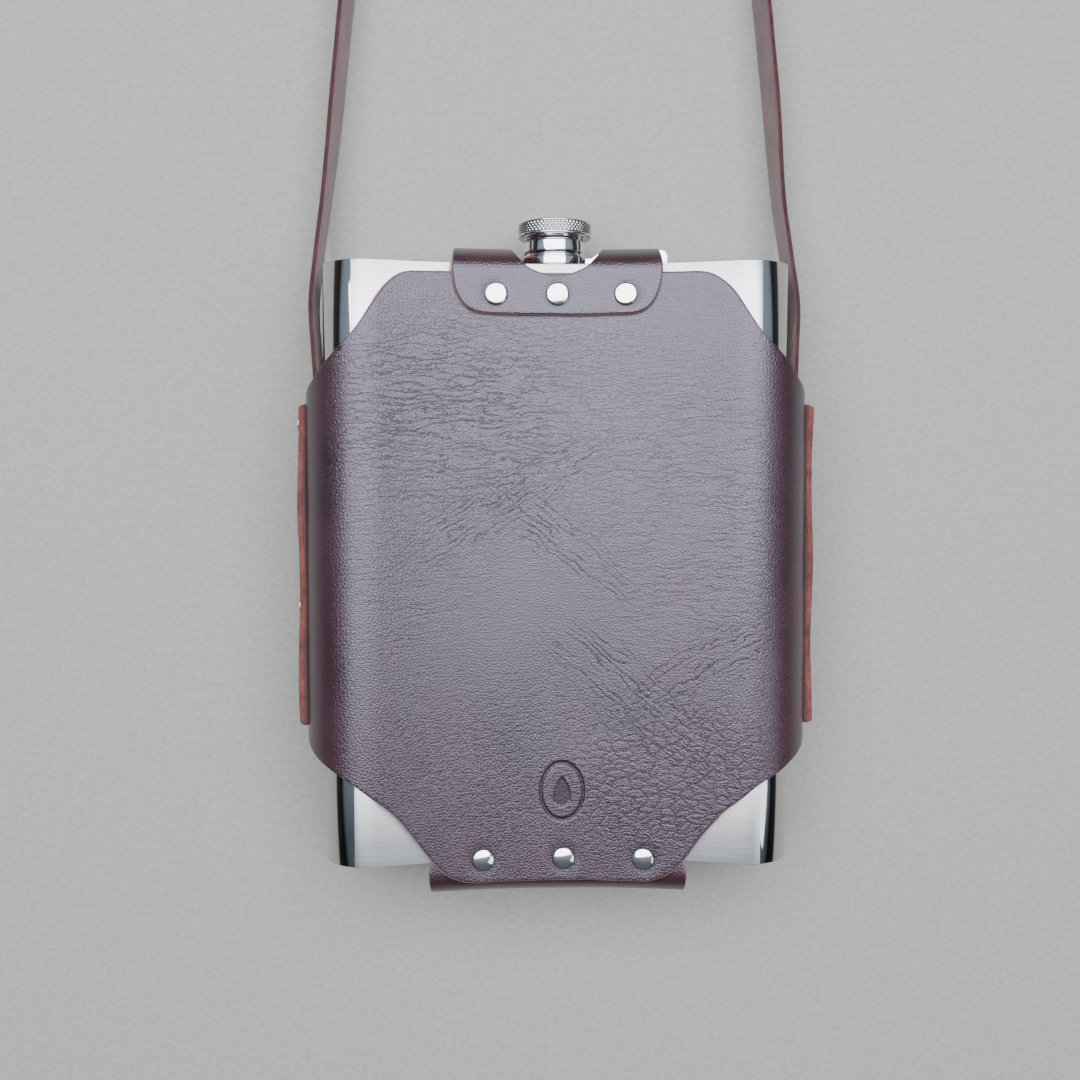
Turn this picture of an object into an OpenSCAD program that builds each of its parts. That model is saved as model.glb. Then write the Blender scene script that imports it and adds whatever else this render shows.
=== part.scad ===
// Large steel hip flask with a captive screw cap, carried in a riveted leather sling.
// It lies on its back: +X across the flask, +Y towards the cap, +Z out of the hollow front.

/* [Flask] */
// Width of the flask across its rounded sides
flask_w = 190.5; // [186:0.5:194]
// Height of the flask from its foot to its shoulder
flask_h = 243; // [238:0.5:248]
// Thickness of the flask through its middle
flask_t = 44; // [42:0.5:46]
// Radius of the hollow front face
front_r = 262; // [250:1:280]
// Radius of the rounded edges beside the front face
front_edge_r = 18; // [17:0.5:19]
// Radius of the rounded edges beside the back face
back_edge_r = 20; // [19:0.5:21]
// Radius of the bulging back face
back_r = 170; // [160:1:180]
// Half the width of the flat along the middle of the back
rest_half = 18; // [16:1:20]
// Thickness of the steel sheet
sheet = 0.8; // [0.6:0.1:1]

/* [Neck and cap] */
// Height of the neck above the top plate
neck_h = 12; // [11.6:0.1:12]
// Radius of the mouth inside the neck
mouth_r = 8; // [7:0.1:8.4]
// Radius of the crests of the neck's thread
thread_r = 10.4; // [10.2:0.1:10.4]
// Radius of the knurled head of the cap
head_r = 15.5; // [15:0.1:16]
// Height of the top of the cap above the top plate
cap_top = 20.45; // [20:0.05:21]
// Radius of the polished barrel under the head
barrel_r = 12.95; // [12.9:0.05:13.1]
// How far the cap rises when it is unscrewed
cap_lift = 2.7; // [2:0.1:2.7]

/* [Captive arm] */
// Distance from the neck's axis to the hinge pin
pivot_x = 44; // [43.6:0.1:45]
// Height of the hinge pin above the top plate
pivot_h = 6.05; // [5.9:0.05:6.2]
// Width of the arm along the pin
arm_w = 10; // [8:0.5:10]

/* [Leather] */
// Thickness of the leather panels
leather = 2.6; // [2.4:0.1:2.6]
// Half width of the collar where it folds over the shoulder
collar_half = 42; // [40:0.5:42]
// Half width of the tail where it folds under the foot
tail_half = 52.5; // [50:0.5:54]
// Radius of the hole that the neck comes through
neck_hole_r = 20; // [19:0.5:21]
// Radius of the rivet caps
rivet_r = 4.5; // [4:0.1:4.5]

/* [Strap] */
// Width of the shoulder strap
strap_w = 20; // [18:1:20]
// Thickness of the shoulder strap
strap_t = 2; // [1.6:0.1:2]

/* [Hidden] */
$fn = 72;

// Gap between the flask and the leather behind it
slack = 0.3;
// The flask stands clear of the floor by the leather and its gap
back_z = leather + slack;
front_z = back_z + flask_t;
// The shoulder and the foot, measured from the middle of the whole object
foot_y = -124;
shoulder_y = foot_y + flask_h;
// The top plate lies a little below the rim of the wrap
plate_t = 1.2;
plate_y = shoulder_y - 0.3;
// The neck stands on the flask's own mid thickness
neck_z = back_z + flask_t / 2;

// Centres of the arcs of the flask's section, in the XZ plane
back_c = [rest_half, back_z + back_r];
back_edge_x = flask_w / 2 - back_edge_r;
back_edge_c = [back_edge_x,
    back_c.y - sqrt(pow(back_r - back_edge_r, 2) - pow(back_edge_x - rest_half, 2))];
front_c = [0, front_z + front_r];
front_edge_x = flask_w / 2 - front_edge_r;
front_edge_c = [front_edge_x, front_c.y - sqrt(pow(front_r + front_edge_r, 2) - pow(front_edge_x, 2))];
// Directions in which one arc hands over to the next
back_turn = atan2(back_edge_c.y - back_c.y, back_edge_c.x - back_c.x);
front_turn = atan2(front_c.y - front_edge_c.y, -front_edge_c.x);

// Layers on the steel, as distances of their two faces from it: tail, front panel, collar or flap
layer_gap = 0.1;
tail_in = 1.7;
panel_in = tail_in + leather + layer_gap;
panel_out = panel_in + leather;
over_in = panel_out + layer_gap;
over_out = over_in + leather;
// The side flaps spring away from the wings by this much at their free edge
flap_splay = 1.2;
// Where the wings end at the back, and the flaps at the front, as directions on the edge arcs
wing_end = -38;
flap_end = 10;

// Rivet places: across the flask for the two rows on the front, up the flask for the sides
collar_rivet_y = 105.3;
collar_rivets = [-25.3, 0, 28];
tail_rivet_y = -121.6;
tail_rivets = [-31, 2.3, 35.2];
side_rivets = [55, 34, -20, -60];
side_z = 37;
post_r = 1.5;
base_t = 0.8;
cap_h = 1.5;
side_base = 0.12;
// Holes in the leather are this much wider than a post, and caps stand this far off it
post_play = 0.05;
cap_gap = 0.15;

// Points at distance r round centre c from direction a to direction b, without the first
function arc(c, r, a, b, n) =
    [for (i = [1:n]) c + r * [cos(a + (b - a) * i / n), sin(a + (b - a) * i / n)]];
// A half outline from the middle of one face to the middle of the other, made whole
function both_sides(half) =
    concat(half, [for (i = [len(half) - 1:-1:0]) if (half[i].x > 0.001) [-half[i].x, half[i].y]]);
// Half of the flask's section, d outside the steel
function section_half(d) = concat(
    [[0, back_z - d], [rest_half, back_z - d]],
    arc(back_c, back_r + d, -90, back_turn, 9),
    arc(back_edge_c, back_edge_r + d, back_turn, 0, 9),
    arc(front_edge_c, front_edge_r + d, 0, front_turn, 12),
    arc(front_c, front_r - d, front_turn - 180, -90, 12));
// The front panel's half section from the end of its wing to the middle of the front
function wing_half(d) = concat(
    arc(back_edge_c, back_edge_r + d, wing_end - 1, wing_end, 1),
    arc(back_edge_c, back_edge_r + d, wing_end, 0, 6),
    arc(front_edge_c, front_edge_r + d, 0, front_turn, 12),
    arc(front_c, front_r - d, front_turn - 180, -90, 12));
// An open half curve whose left twin follows it, as one line from right to left
function whole_line(half) =
    concat(half, [for (i = [len(half) - 2:-1:0]) [-half[i].x, half[i].y]]);
function reversed(list) = [for (i = [len(list) - 1:-1:0]) list[i]];
function smooth(u) = let (v = min(max(u, 0), 1)) v * v * (3 - 2 * v);

// The back panel leaves the steel gradually, so that its flaps pass outside the wings
flap_start = 20;
flap_rise = 57;
function back_gap(s) = slack + (over_in - slack) * smooth((s - flap_start) / flap_rise);
function flap_half(d) = concat(
    [[0, back_z - slack - d], [rest_half, back_z - slack - d]],
    [for (i = [1:12]) let (a = -90 + (back_turn + 90) * i / 12,
        r = back_r + d + back_gap(back_r * (a + 90) * PI / 180)) back_c + r * [cos(a), sin(a)]],
    [for (i = [1:10]) let (a = back_turn * (1 - i / 10),
        s = back_r * (back_turn + 90) * PI / 180 + (back_edge_r + over_in) * (a - back_turn) * PI / 180,
        r = back_edge_r + d + back_gap(s)) back_edge_c + r * [cos(a), sin(a)]],
    [for (i = [0:4]) let (a = flap_end * i / 4, r = front_edge_r + d + over_in + flap_splay * pow(i / 4, 2))
        front_edge_c + r * [cos(a), sin(a)]]);

// Outlines of the two panels, seen from the front; right halves from the top down
panel_top = 114.5;
panel_foot = -131.4;
wing_top = 66.3;
wing_foot = -73;
function panel_outline_half() = [[0, panel_top], [57, panel_top], [61, panel_top - 0.7],
    [65, panel_top - 3], [69, panel_top - 7], [81, 89.5], [95.5, 73.5], [100, 68], [104, wing_top],
    [120, wing_top], [120, wing_foot], [104, wing_foot], [100, -76], [95, -81], [80.6, -90.2],
    [67, -100.8], [59, -110.5], [52, -120.8], [46, -127.5], [41, -130.4], [36, panel_foot],
    [0, panel_foot]];
flap_top = 62.7;
flap_foot = -69.2;
back_top = 119;
back_foot = -123.8;
function back_outline_half() = [[0, back_top], [collar_half, back_top], [collar_half, 112],
    [collar_half + 3, 106], [84, flap_top + 3], [90, flap_top], [130, flap_top], [130, flap_foot],
    [90, flap_foot], [84, flap_foot - 3], [tail_half + 4, -110], [tail_half, -116],
    [tail_half, back_foot], [0, back_foot]];

// Extrudes an XZ section along Y, and a front outline along Z
module along_y(y0, y1) {
    translate([0, y1, 0]) rotate([90, 0, 0]) linear_extrude(y1 - y0) children();
}
module from_front(points) {
    translate([0, 0, -10]) linear_extrude(100) polygon(both_sides(points));
}
// Puts children on the steel: on the hollow front, at a side, or on the top plate about the neck
module on_front(x, y) {
    translate([0, y, front_c.y]) rotate([0, -asin(x / front_r), 0]) translate([0, 0, -front_r]) children();
}
module on_side(side, y) {
    translate([side * flask_w / 2, y, side_z]) rotate([0, side * 90, 0]) children();
}
module on_neck() {
    translate([0, plate_y, neck_z]) rotate([-90, 0, 0]) children();
}
module ring(r_in, r_out, low, high) {
    translate([0, 0, low]) difference() {
        cylinder(r = r_out, h = high - low);
        translate([0, 0, -1]) cylinder(r = r_in, h = high - low + 2);
    }
}

// Steel flask

module flask_wrap() {
    color("silver") along_y(foot_y, shoulder_y) difference() {
        polygon(both_sides(section_half(0)));
        polygon(both_sides(section_half(-sheet)));
    }
}
module end_plate(y) {
    along_y(y - plate_t, y) polygon(both_sides(section_half(-sheet - 0.05)));
}
module top_plate() {
    color("gainsboro") difference() {
        end_plate(plate_y);
        on_neck() translate([0, 0, -plate_t - 1]) cylinder(r = neck_r + 0.05, h = plate_t + 2);
    }
}
module bottom_plate() {
    color("gainsboro") end_plate(foot_y + 0.3 + plate_t);
}

neck_r = thread_r - 0.5;
foot_flange_r = 13;
thread_pitch = 2.4;
module neck() {
    color("silver") on_neck() {
        ring(mouth_r, neck_r, -plate_t - 1, neck_h);
        ring(neck_r - 0.1, foot_flange_r, -plate_t - 1, -plate_t - 0.05);
        for (h = [neck_h - 1.8, neck_h - 1.8 - thread_pitch, neck_h - 1.8 - 2 * thread_pitch])
            thread_crest(h);
    }
}
// One turn of the thread, as a ridge with sloping sides
module thread_crest(h) {
    translate([0, 0, h]) rotate_extrude()
        polygon([[neck_r - 0.1, -0.8], [thread_r, -0.25], [thread_r, 0.25], [neck_r - 0.1, 0.8]]);
}

// Captive arm and its hinge

knuckle_r = 2.6;
pin_r = 1.2;
ear_t = 2.3;
bracket_t = 1;
foot_l = 12;
module at_pivot() {
    on_neck() translate([pivot_x, 0, pivot_h]) rotate([90, 0, 0]) children();
}
// One ear of the bracket: a round knuckle on a foot, ear_t thick along the pin
module ear(z) {
    at_pivot() translate([0, 0, z]) difference() {
        union() {
            cylinder(r = knuckle_r, h = ear_t);
            translate([-knuckle_r, -pivot_h + bracket_t / 2, 0])
                cube([2 * knuckle_r, pivot_h - bracket_t / 2, ear_t]);
        }
        translate([0, 0, -1]) cylinder(r = pin_r, h = ear_t + 2);
    }
}
module hinge_bracket() {
    ear_at = arm_w / 2 + 0.2;
    color("silver") union() {
        ear(ear_at);
        ear(-ear_at - ear_t);
        on_neck() translate([pivot_x + knuckle_r - foot_l, -ear_at - ear_t, 0])
            cube([foot_l, 2 * (ear_at + ear_t), bracket_t]);
    }
}
module hinge_pin() {
    reach = arm_w / 2 + 0.2 + ear_t;
    color("dimgray") at_pivot() union() {
        translate([0, 0, -reach - 0.8]) cylinder(r = pin_r, h = 2 * reach + 1.6);
        for (z = [-reach - 0.9, reach + 0.05]) translate([0, 0, z]) cylinder(r = knuckle_r - 0.4, h = 0.85);
    }
}

// The arm is a cup-shaped ring under the cap's barrel, with a cranked bar to the hinge
cup_top = 5.35;
cup_low = 2.45;
cup_r = 13.6;
skirt_r = 12.05;
module captive_arm() {
    color("silver") difference() {
        union() {
            on_neck() ring(skirt_r + 0.1, cup_r, cup_top - web_t, cup_top);
            on_neck() ring(cup_r - 0.6, cup_r, cup_low, cup_top - 0.5);
            at_pivot() translate([0, 0, -arm_w / 2]) linear_extrude(arm_w) arm_side();
        }
        at_pivot() translate([0, 0, -arm_w]) cylinder(r = pin_r + 0.08, h = 2 * arm_w);
        on_neck() translate([0, 0, -1]) cylinder(r = cup_r - 0.6, h = cup_top);
        on_neck() cylinder(r = skirt_r + 0.1, h = cup_top + 1);
    }
}
// Side view of the bar about the pin: out of the cup, up its crank and along to the eye
module arm_side() {
    circle(r = knuckle_r);
    near = cup_r - 1.2 - pivot_x;
    polygon([[near, cup_low - pivot_h + 0.4], [near, cup_top - pivot_h], [near + 2.6, cup_top - pivot_h],
        [near + 5.6, 1.35], [0, 1.35], [0, -1.05], [near + 6.6, -1.05], [near + 4, cup_low - pivot_h + 0.4]]);
}

washer_t = 0.9;
web_t = 1;
// The washer meets the web of the cup when the cap has risen
washer_low = cup_top - web_t - 0.05 - washer_t - cap_lift;
module retaining_washer() {
    color("dimgray") on_neck() ring(skirt_r - 0.32, cup_r - 0.8, washer_low, washer_low + washer_t);
}

// Screw cap

bore_r = 11.2;
barrel_low = cup_top + 0.1;
step_h = 12.6;
head_low = 14.35;
liner_t = 1.85;
module cap_barrel() {
    roof = neck_h + 0.2 + liner_t + 0.05;
    color("silver") on_neck() rotate_extrude() polygon([
        [0, roof], [bore_r, roof], [bore_r, 0.35], [skirt_r, 0.35],
        [skirt_r, washer_low - 0.05], [skirt_r - 0.4, washer_low - 0.05],
        [skirt_r - 0.4, washer_low + washer_t + 0.05], [skirt_r, washer_low + washer_t + 0.05],
        [skirt_r, barrel_low], [barrel_r - 0.3, barrel_low], [barrel_r, barrel_low + 0.3],
        [barrel_r, step_h - 0.5], [barrel_r - 0.65, step_h], [barrel_r - 0.65, roof + 1.3],
        [0, roof + 1.3]]);
}
module cap_head() {
    low = neck_h + 0.2 + liner_t + 1.4;
    color("gainsboro") on_neck() rotate_extrude() polygon([
        [0, low], [barrel_r - 0.6, low], [barrel_r - 0.6, head_low + 0.5], [head_r - 1.1, head_low],
        [head_r - 0.5, head_low], [head_r, head_low + 0.5], [head_r, cap_top - 0.8],
        [head_r - 0.8, cap_top], [0, cap_top]]);
}
module cap_liner() {
    color("whitesmoke") on_neck() translate([0, 0, neck_h + 0.2]) cylinder(r = bore_r - 0.1, h = liner_t);
}

// Leather sling

module post_holes_front(places, y) {
    for (x = places) on_front(x, y) translate([0, 0, -1]) cylinder(r = post_r + post_play, h = 20);
}
module post_holes_sides() {
    for (side = [-1, 1], y = side_rivets) on_side(side, y) cylinder(r = post_r + post_play, h = 20);
}
module front_panel() {
    color("#4a2a33") difference() {
        intersection() {
            along_y(panel_foot, panel_top)
                polygon(concat(whole_line(wing_half(panel_out)), reversed(whole_line(wing_half(panel_in)))));
            from_front(panel_outline_half());
        }
        post_holes_front(collar_rivets, collar_rivet_y);
        post_holes_front(tail_rivets, tail_rivet_y);
        post_holes_sides();
    }
}

// Height of the middle of the leather on the back, and of the steel on the front, at x
function back_mid(x) = let (e = max(abs(x) - rest_half, 0))
    back_z - slack - leather / 2 + back_r - sqrt(pow(back_r, 2) - pow(e, 2));
function front_at(x) = front_c.y - sqrt(pow(front_r, 2) - pow(x, 2));
// A cubic curve through two end points, pulled towards two others
function bezier(p, t) = pow(1 - t, 3) * p[0] + 3 * t * pow(1 - t, 2) * p[1]
    + 3 * t * t * (1 - t) * p[2] + pow(t, 3) * p[3];
function bezier_way(p, t) = pow(1 - t, 2) * (p[1] - p[0]) + 2 * t * (1 - t) * (p[2] - p[1])
    + pow(t, 2) * (p[3] - p[2]);
// The fold at x in the YZ plane: from the back, round the end, to the front
function collar_fold(x) = [[back_top + 0.3, back_mid(x)], [129.4, back_mid(x)],
    [128.6, front_at(x) + over_in + leather / 2], [115, front_at(x) + over_in + leather / 2]];
function tail_fold(x) = [[-124.4, back_mid(x)], [-138.8, back_mid(x)],
    [-144.6, front_at(x) + tail_in + leather / 2], [-127, front_at(x) + tail_in + leather / 2]];
fold_steps = 12;
columns = 14;
// A row of the sheet is [half width, inset of both faces, place along the fold, or y beyond it]
collar_rows = concat([[collar_half - 0.5, 0.15, -5], [collar_half - 0.5, 0.15, 0]],
    [for (i = [0:fold_steps]) [collar_half, 0, i / fold_steps]],
    [[41.6, 0, 110], [40.2, 0, 105.5], [38, 0, 101.5], [35.2, 0, 98.8], [31.5, 0, 97.3], [27, 0, 96.8]]);
tail_rows = concat([[tail_half - 0.5, 0.15, -5], [tail_half - 0.5, 0.15, 0]],
    [for (i = [0:fold_steps]) [tail_half, 0, i / fold_steps]],
    [[tail_half - 1, 0, -124], [tail_half - 5, 0, -117], [tail_half - 10, 0, -110]]);
// [place, direction along the sheet] in the YZ plane, for a row's third value and an x
function row_point(fold, v, end) = v < 0 && v > -9 ? [fold[0] + [v * end, 0], [end, 0]]
    : abs(v) > 9 ? [[v, fold[3].y], [-end, 0]] : [bezier(fold, v), bezier_way(fold, v)];
// One face of the folded sheet, side -1 on the inside and 1 on the outside
function fold_face(rows, end, side) = [for (row = rows, i = [0:columns])
    let (x = row[0] * (2 * i / columns - 1), fold = end > 0 ? collar_fold(x) : tail_fold(x),
        p = row_point(fold, row[2], end), way = p[1] / norm(p[1]),
        out = end * [way.y, -way.x] * side * (leather / 2 - row[1]))
        [x, p[0].x + out.x, p[0].y + out.y]];
// Triangles of a closed sheet whose two faces are grids of r rows and c columns
function sheet_faces(r, c) = let (n = r * c) concat(
    [for (i = [0:r - 2], j = [0:c - 2]) each let (k = i * c + j)
        [[k, k + 1, k + c + 1], [k, k + c + 1, k + c],
        [n + k, n + k + c + 1, n + k + 1], [n + k, n + k + c, n + k + c + 1]]],
    [for (i = [0:r - 2]) each let (k = i * c, m = k + c - 1)
        [[k, k + c, n + k + c], [k, n + k + c, n + k], [m, n + m + c, m + c], [m, n + m, n + m + c]]],
    [for (j = [0:c - 2]) each let (m = (r - 1) * c + j)
        [[j, n + j, n + j + 1], [j, n + j + 1, j + 1], [m, n + m + 1, n + m], [m, m + 1, n + m + 1]]]);
module folded_sheet(rows, end) {
    outside = fold_face(rows, end, 1);
    inside = fold_face(rows, end, -1);
    faces = sheet_faces(len(rows), columns + 1);
    polyhedron(points = concat(outside, inside), faces = end > 0 ? faces : [for (f = faces) reversed(f)]);
}

// The arm swings through this slot behind the fold of the collar
slot_low = neck_z - 8;
slot_high = neck_z + 8.5;
module back_panel() {
    color("#4a2a33") difference() {
        union() {
            intersection() {
                along_y(back_foot, back_top) polygon(concat(whole_line(reversed(flap_half(leather))),
                    reversed(whole_line(reversed(flap_half(0))))));
                from_front(back_outline_half());
            }
            folded_sheet(collar_rows, 1);
            folded_sheet(tail_rows, -1);
        }
        translate([0, shoulder_y + 14.2, -5]) cylinder(r = neck_hole_r, h = 100);
        translate([8, shoulder_y + 0.5, slot_low]) cube([60, 20, slot_high - slot_low]);
        post_holes_front(collar_rivets, collar_rivet_y);
        post_holes_front(tail_rivets, tail_rivet_y);
        post_holes_sides();
    }
}

// Rivets: a domed cap outside, and a post on a flat base inside

dome_r = 9.75;
module domed_cap(bottom) {
    translate([0, 0, bottom]) rotate_extrude() intersection() {
        translate([0, cap_h - dome_r]) circle(r = dome_r);
        square([rivet_r, cap_h]);
    }
}
module post(base, top) {
    translate([0, 0, base]) union() {
        cylinder(r = rivet_r, h = base_t);
        cylinder(r = post_r, h = top - base);
    }
}
module front_caps(places, y, level) {
    color("silver") for (x = places) on_front(x, y) domed_cap(level);
}
module front_posts(places, y, base, level) {
    color("silver") for (x = places) on_front(x, y) post(base, level);
}
module side_caps(side) {
    color("silver") for (y = side_rivets) on_side(side, y) domed_cap(over_out + cap_gap);
}
module side_posts(side) {
    color("silver") for (y = side_rivets) on_side(side, y) post(side_base, over_out + cap_gap);
}
module collar_rivet_caps() front_caps(collar_rivets, collar_rivet_y, over_out + cap_gap);
module collar_rivet_posts()
    front_posts(collar_rivets, collar_rivet_y, panel_in - base_t - layer_gap, over_out + cap_gap);
module tail_rivet_caps() front_caps(tail_rivets, tail_rivet_y, panel_out + cap_gap);
module tail_rivet_posts()
    front_posts(tail_rivets, tail_rivet_y, tail_in - base_t - layer_gap, panel_out + cap_gap);
module left_rivet_caps() side_caps(-1);
module left_rivet_posts() side_posts(-1);
module right_rivet_caps() side_caps(1);
module right_rivet_posts() side_posts(1);

// Shoulder strap: from the left pocket, up and round in three bends, to the right pocket

strap_route = [[-97.3, 24, 37], [-97.3, 45, 37], [-97.3, 66, 37], [-99.3, 86, 30.5], [-101.2, 106, 24],
    [-100.2, 128, 16], [-98, 150, 11], [-95.3, 174, 10.2], [-92.3, 200, 10.2], [-89.8, 226, 10.2],
    [-87.6, 250, 10.2], [-90, 276, 10.2], [-102, 302, 10.2], [-115, 326, 10.2], [-119, 350, 10.2],
    [-108, 378, 10.2], [-80, 390, 10.2], [-52, 378, 10.2], [-41, 350, 10.2], [-41, 324, 10.2],
    [-41, 300, 10.2], [-29, 272, 10.2], [0, 260, 10.2], [29, 272, 10.2], [41, 300, 10.2],
    [41, 324, 10.2], [41, 350, 10.2], [52, 378, 10.2], [80, 390, 10.2], [108, 378, 10.2],
    [119, 350, 10.2], [115, 326, 10.2], [103, 302, 10.2], [92, 276, 10.2], [89, 250, 10.2],
    [91.3, 226, 10.2], [93.8, 200, 10.2], [96, 174, 10.2], [98, 150, 11], [99.9, 128, 16],
    [101.2, 106, 24], [99.3, 86, 30.5], [97.3, 66, 37], [97.3, 45, 37], [97.3, 24, 37]];
// The middle of the smooth curve between route points i and i + 1
function between(i) = let (n = len(strap_route) - 1, a = strap_route[max(i - 1, 0)], b = strap_route[i],
    c = strap_route[i + 1], d = strap_route[min(i + 2, n)]) (9 * (b + c) - a - d) / 16;
strap_line = [for (i = [0:len(strap_route) - 1]) each i == len(strap_route) - 1 || i % 4 == 3
    ? [strap_route[i]] : [strap_route[i], between(i)]];
// Beyond the shoulder the strap's upper edge leans outwards by this share of its height
strap_lean = 0.1;
function lean(y) = strap_lean * smooth((y - 140) / 60);
// The strap's section: across it, and up its width
strap_section = [for (p = [[1, -0.92], [1, 0.92], [0.6, 1], [-0.6, 1], [-1, 0.92], [-1, -0.92], [-0.6, -1],
    [0.6, -1]]) [p.x * strap_t / 2, p.y * strap_w / 2]];
function strap_ring(i) = let (n = len(strap_line) - 1,
    way = strap_line[min(i + 1, n)] - strap_line[max(i - 1, 0)],
    across = [way.y, -way.x, 0] / norm([way.x, way.y]))
    [for (p = strap_section) strap_line[i] + across * (p.x - lean(strap_line[i].y) * p.y) + [0, 0, p.y]];
module shoulder_strap() {
    rings = len(strap_line);
    sides = len(strap_section);
    tube = [for (i = [0:rings - 2], j = [0:sides - 1]) each
        let (k = i * sides + j, l = i * sides + (j + 1) % sides)
        [[k, k + sides, l + sides], [k, l + sides, l]]];
    start = [[for (j = [0:sides - 1]) j]];
    finish = [[for (j = [sides - 1:-1:0]) (rings - 1) * sides + j]];
    color("#3f2329") difference() {
        polyhedron(points = [for (i = [0:rings - 1]) each strap_ring(i)],
            faces = concat(start, tube, finish));
        for (side = [-1, 1], y = [side_rivets[0], side_rivets[1]])
            on_side(side, y) cylinder(r = post_r + post_play, h = 20);
    }
}

flask_wrap();
top_plate();
bottom_plate();
neck();
hinge_bracket();
hinge_pin();
captive_arm();
retaining_washer();
cap_barrel();
cap_head();
cap_liner();
front_panel();
back_panel();
collar_rivet_caps();
collar_rivet_posts();
tail_rivet_caps();
tail_rivet_posts();
left_rivet_caps();
left_rivet_posts();
right_rivet_caps();
right_rivet_posts();
shoulder_strap();
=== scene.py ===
"""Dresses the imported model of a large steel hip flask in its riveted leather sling.

Every new surface is worked out in millimetres from the flask's own section line, as arrays,
and is turned to metres when it becomes a mesh.
"""
import math

import bpy
import numpy as np
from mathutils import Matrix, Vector
from mathutils.geometry import delaunay_2d_cdt


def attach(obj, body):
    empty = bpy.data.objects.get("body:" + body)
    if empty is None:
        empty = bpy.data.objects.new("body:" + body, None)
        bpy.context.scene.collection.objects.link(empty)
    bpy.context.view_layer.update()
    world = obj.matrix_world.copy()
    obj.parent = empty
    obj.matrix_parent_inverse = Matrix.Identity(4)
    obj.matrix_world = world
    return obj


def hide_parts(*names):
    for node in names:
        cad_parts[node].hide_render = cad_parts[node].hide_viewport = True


bl_info = {
    "name": "Steel hip flask in a leather sling",
    "version": (1, 0, 0),
    "blender": (4, 5, 0),
    "location": "View3D > Sidebar > Hip flask",
    "description": "Makes the leather, strap, cap, rivets and finishes of a slung hip flask",
    "category": "Object",
}

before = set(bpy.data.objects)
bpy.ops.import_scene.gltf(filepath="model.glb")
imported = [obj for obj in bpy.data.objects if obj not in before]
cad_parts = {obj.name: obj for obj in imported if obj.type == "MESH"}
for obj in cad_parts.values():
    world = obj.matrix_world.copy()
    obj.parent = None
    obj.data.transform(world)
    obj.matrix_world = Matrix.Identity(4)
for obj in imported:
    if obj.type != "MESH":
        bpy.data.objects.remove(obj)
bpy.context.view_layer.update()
MM = 0.001

# The flask's section, in mm: a flat strip on the back, then five arcs to the hollow front
BACK_Z, BACK_R, REST_HALF = 2.9, 170.0, 18.0
SIDE_X, BACK_EDGE_R, FRONT_EDGE_R = 95.25, 20.0, 18.0
FRONT_Z, FRONT_R = 46.9, 262.0
FOOT_Y, SHOULDER_Y = -124.0, 119.0
SHEET = 0.8
# Distances of the leather layers from the steel, in mm
BACK_SLACK, TAIL_IN, PANEL_IN, OVER_IN = 0.3, 1.7, 4.4, 7.1
# The neck's axis runs along Y at x 0, and heights on it start from the shoulder plate
PLATE_Y, NECK_Z = 118.7, 24.9
# Where the back panel leaves the flask's back to fold over its shoulder and its foot
COLLAR_Y, TAIL_Y = 119.3, -124.4
RIVET_ROWS = {
    "collar_rivet_caps": ((-25.3, 0.0, 28.0), 105.3, 9.85),
    "tail_rivet_caps": ((-31.0, 2.3, 35.2), -121.6, 7.15),
}
SIDE_RIVETS = {"left_rivet_caps": -1, "right_rivet_caps": 1}
SIDE_RIVET_Y, SIDE_RIVET_Z, SIDE_RIVET_GAP = (55.0, 34.0, -20.0, -60.0), 37.0, 9.85

# The camera looks almost straight down: its place in metres and its small turns in degrees
CAMERA_XY, CAMERA_TURN = (-0.01952, 0.02722), (-2.228, -1.415, -0.085)

STRAP_ROUTE = (
    (-97.3, 24, 37), (-97.3, 45, 37), (-97.3, 66, 37), (-99.3, 86, 30.5), (-101.2, 106, 24),
    (-100.2, 128, 16), (-98, 150, 11), (-95.3, 174, 10.2), (-92.3, 200, 10.2), (-89.8, 226, 10.2),
    (-87.6, 250, 10.2), (-90, 276, 10.2), (-102, 302, 10.2), (-115, 326, 10.2), (-119, 350, 10.2),
    (-108, 378, 10.2), (-80, 390, 10.2), (-52, 378, 10.2), (-41, 350, 10.2), (-41, 324, 10.2),
    (-41, 300, 10.2), (-29, 272, 10.2), (0, 260, 10.2), (29, 272, 10.2), (41, 300, 10.2),
    (41, 324, 10.2), (41, 350, 10.2), (52, 378, 10.2), (80, 390, 10.2), (108, 378, 10.2),
    (119, 350, 10.2), (115, 326, 10.2), (103, 302, 10.2), (92, 276, 10.2), (89, 250, 10.2),
    (91.3, 226, 10.2), (93.8, 200, 10.2), (96, 174, 10.2), (98, 150, 11), (99.9, 128, 16),
    (101.2, 106, 24), (99.3, 86, 30.5), (97.3, 66, 37), (97.3, 45, 37), (97.3, 24, 37))


# ---- arrays to meshes -------------------------------------------------------------------------

def linear(code):
    """An sRGB hex value as the linear colour that shaders take."""
    channels = np.array([int(code[i:i + 2], 16) for i in (1, 3, 5)]) / 255
    curve = np.where(channels <= 0.04045, channels / 12.92, ((channels + 0.055) / 1.055) ** 2.4)
    return (*curve.tolist(), 1.0)


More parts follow.
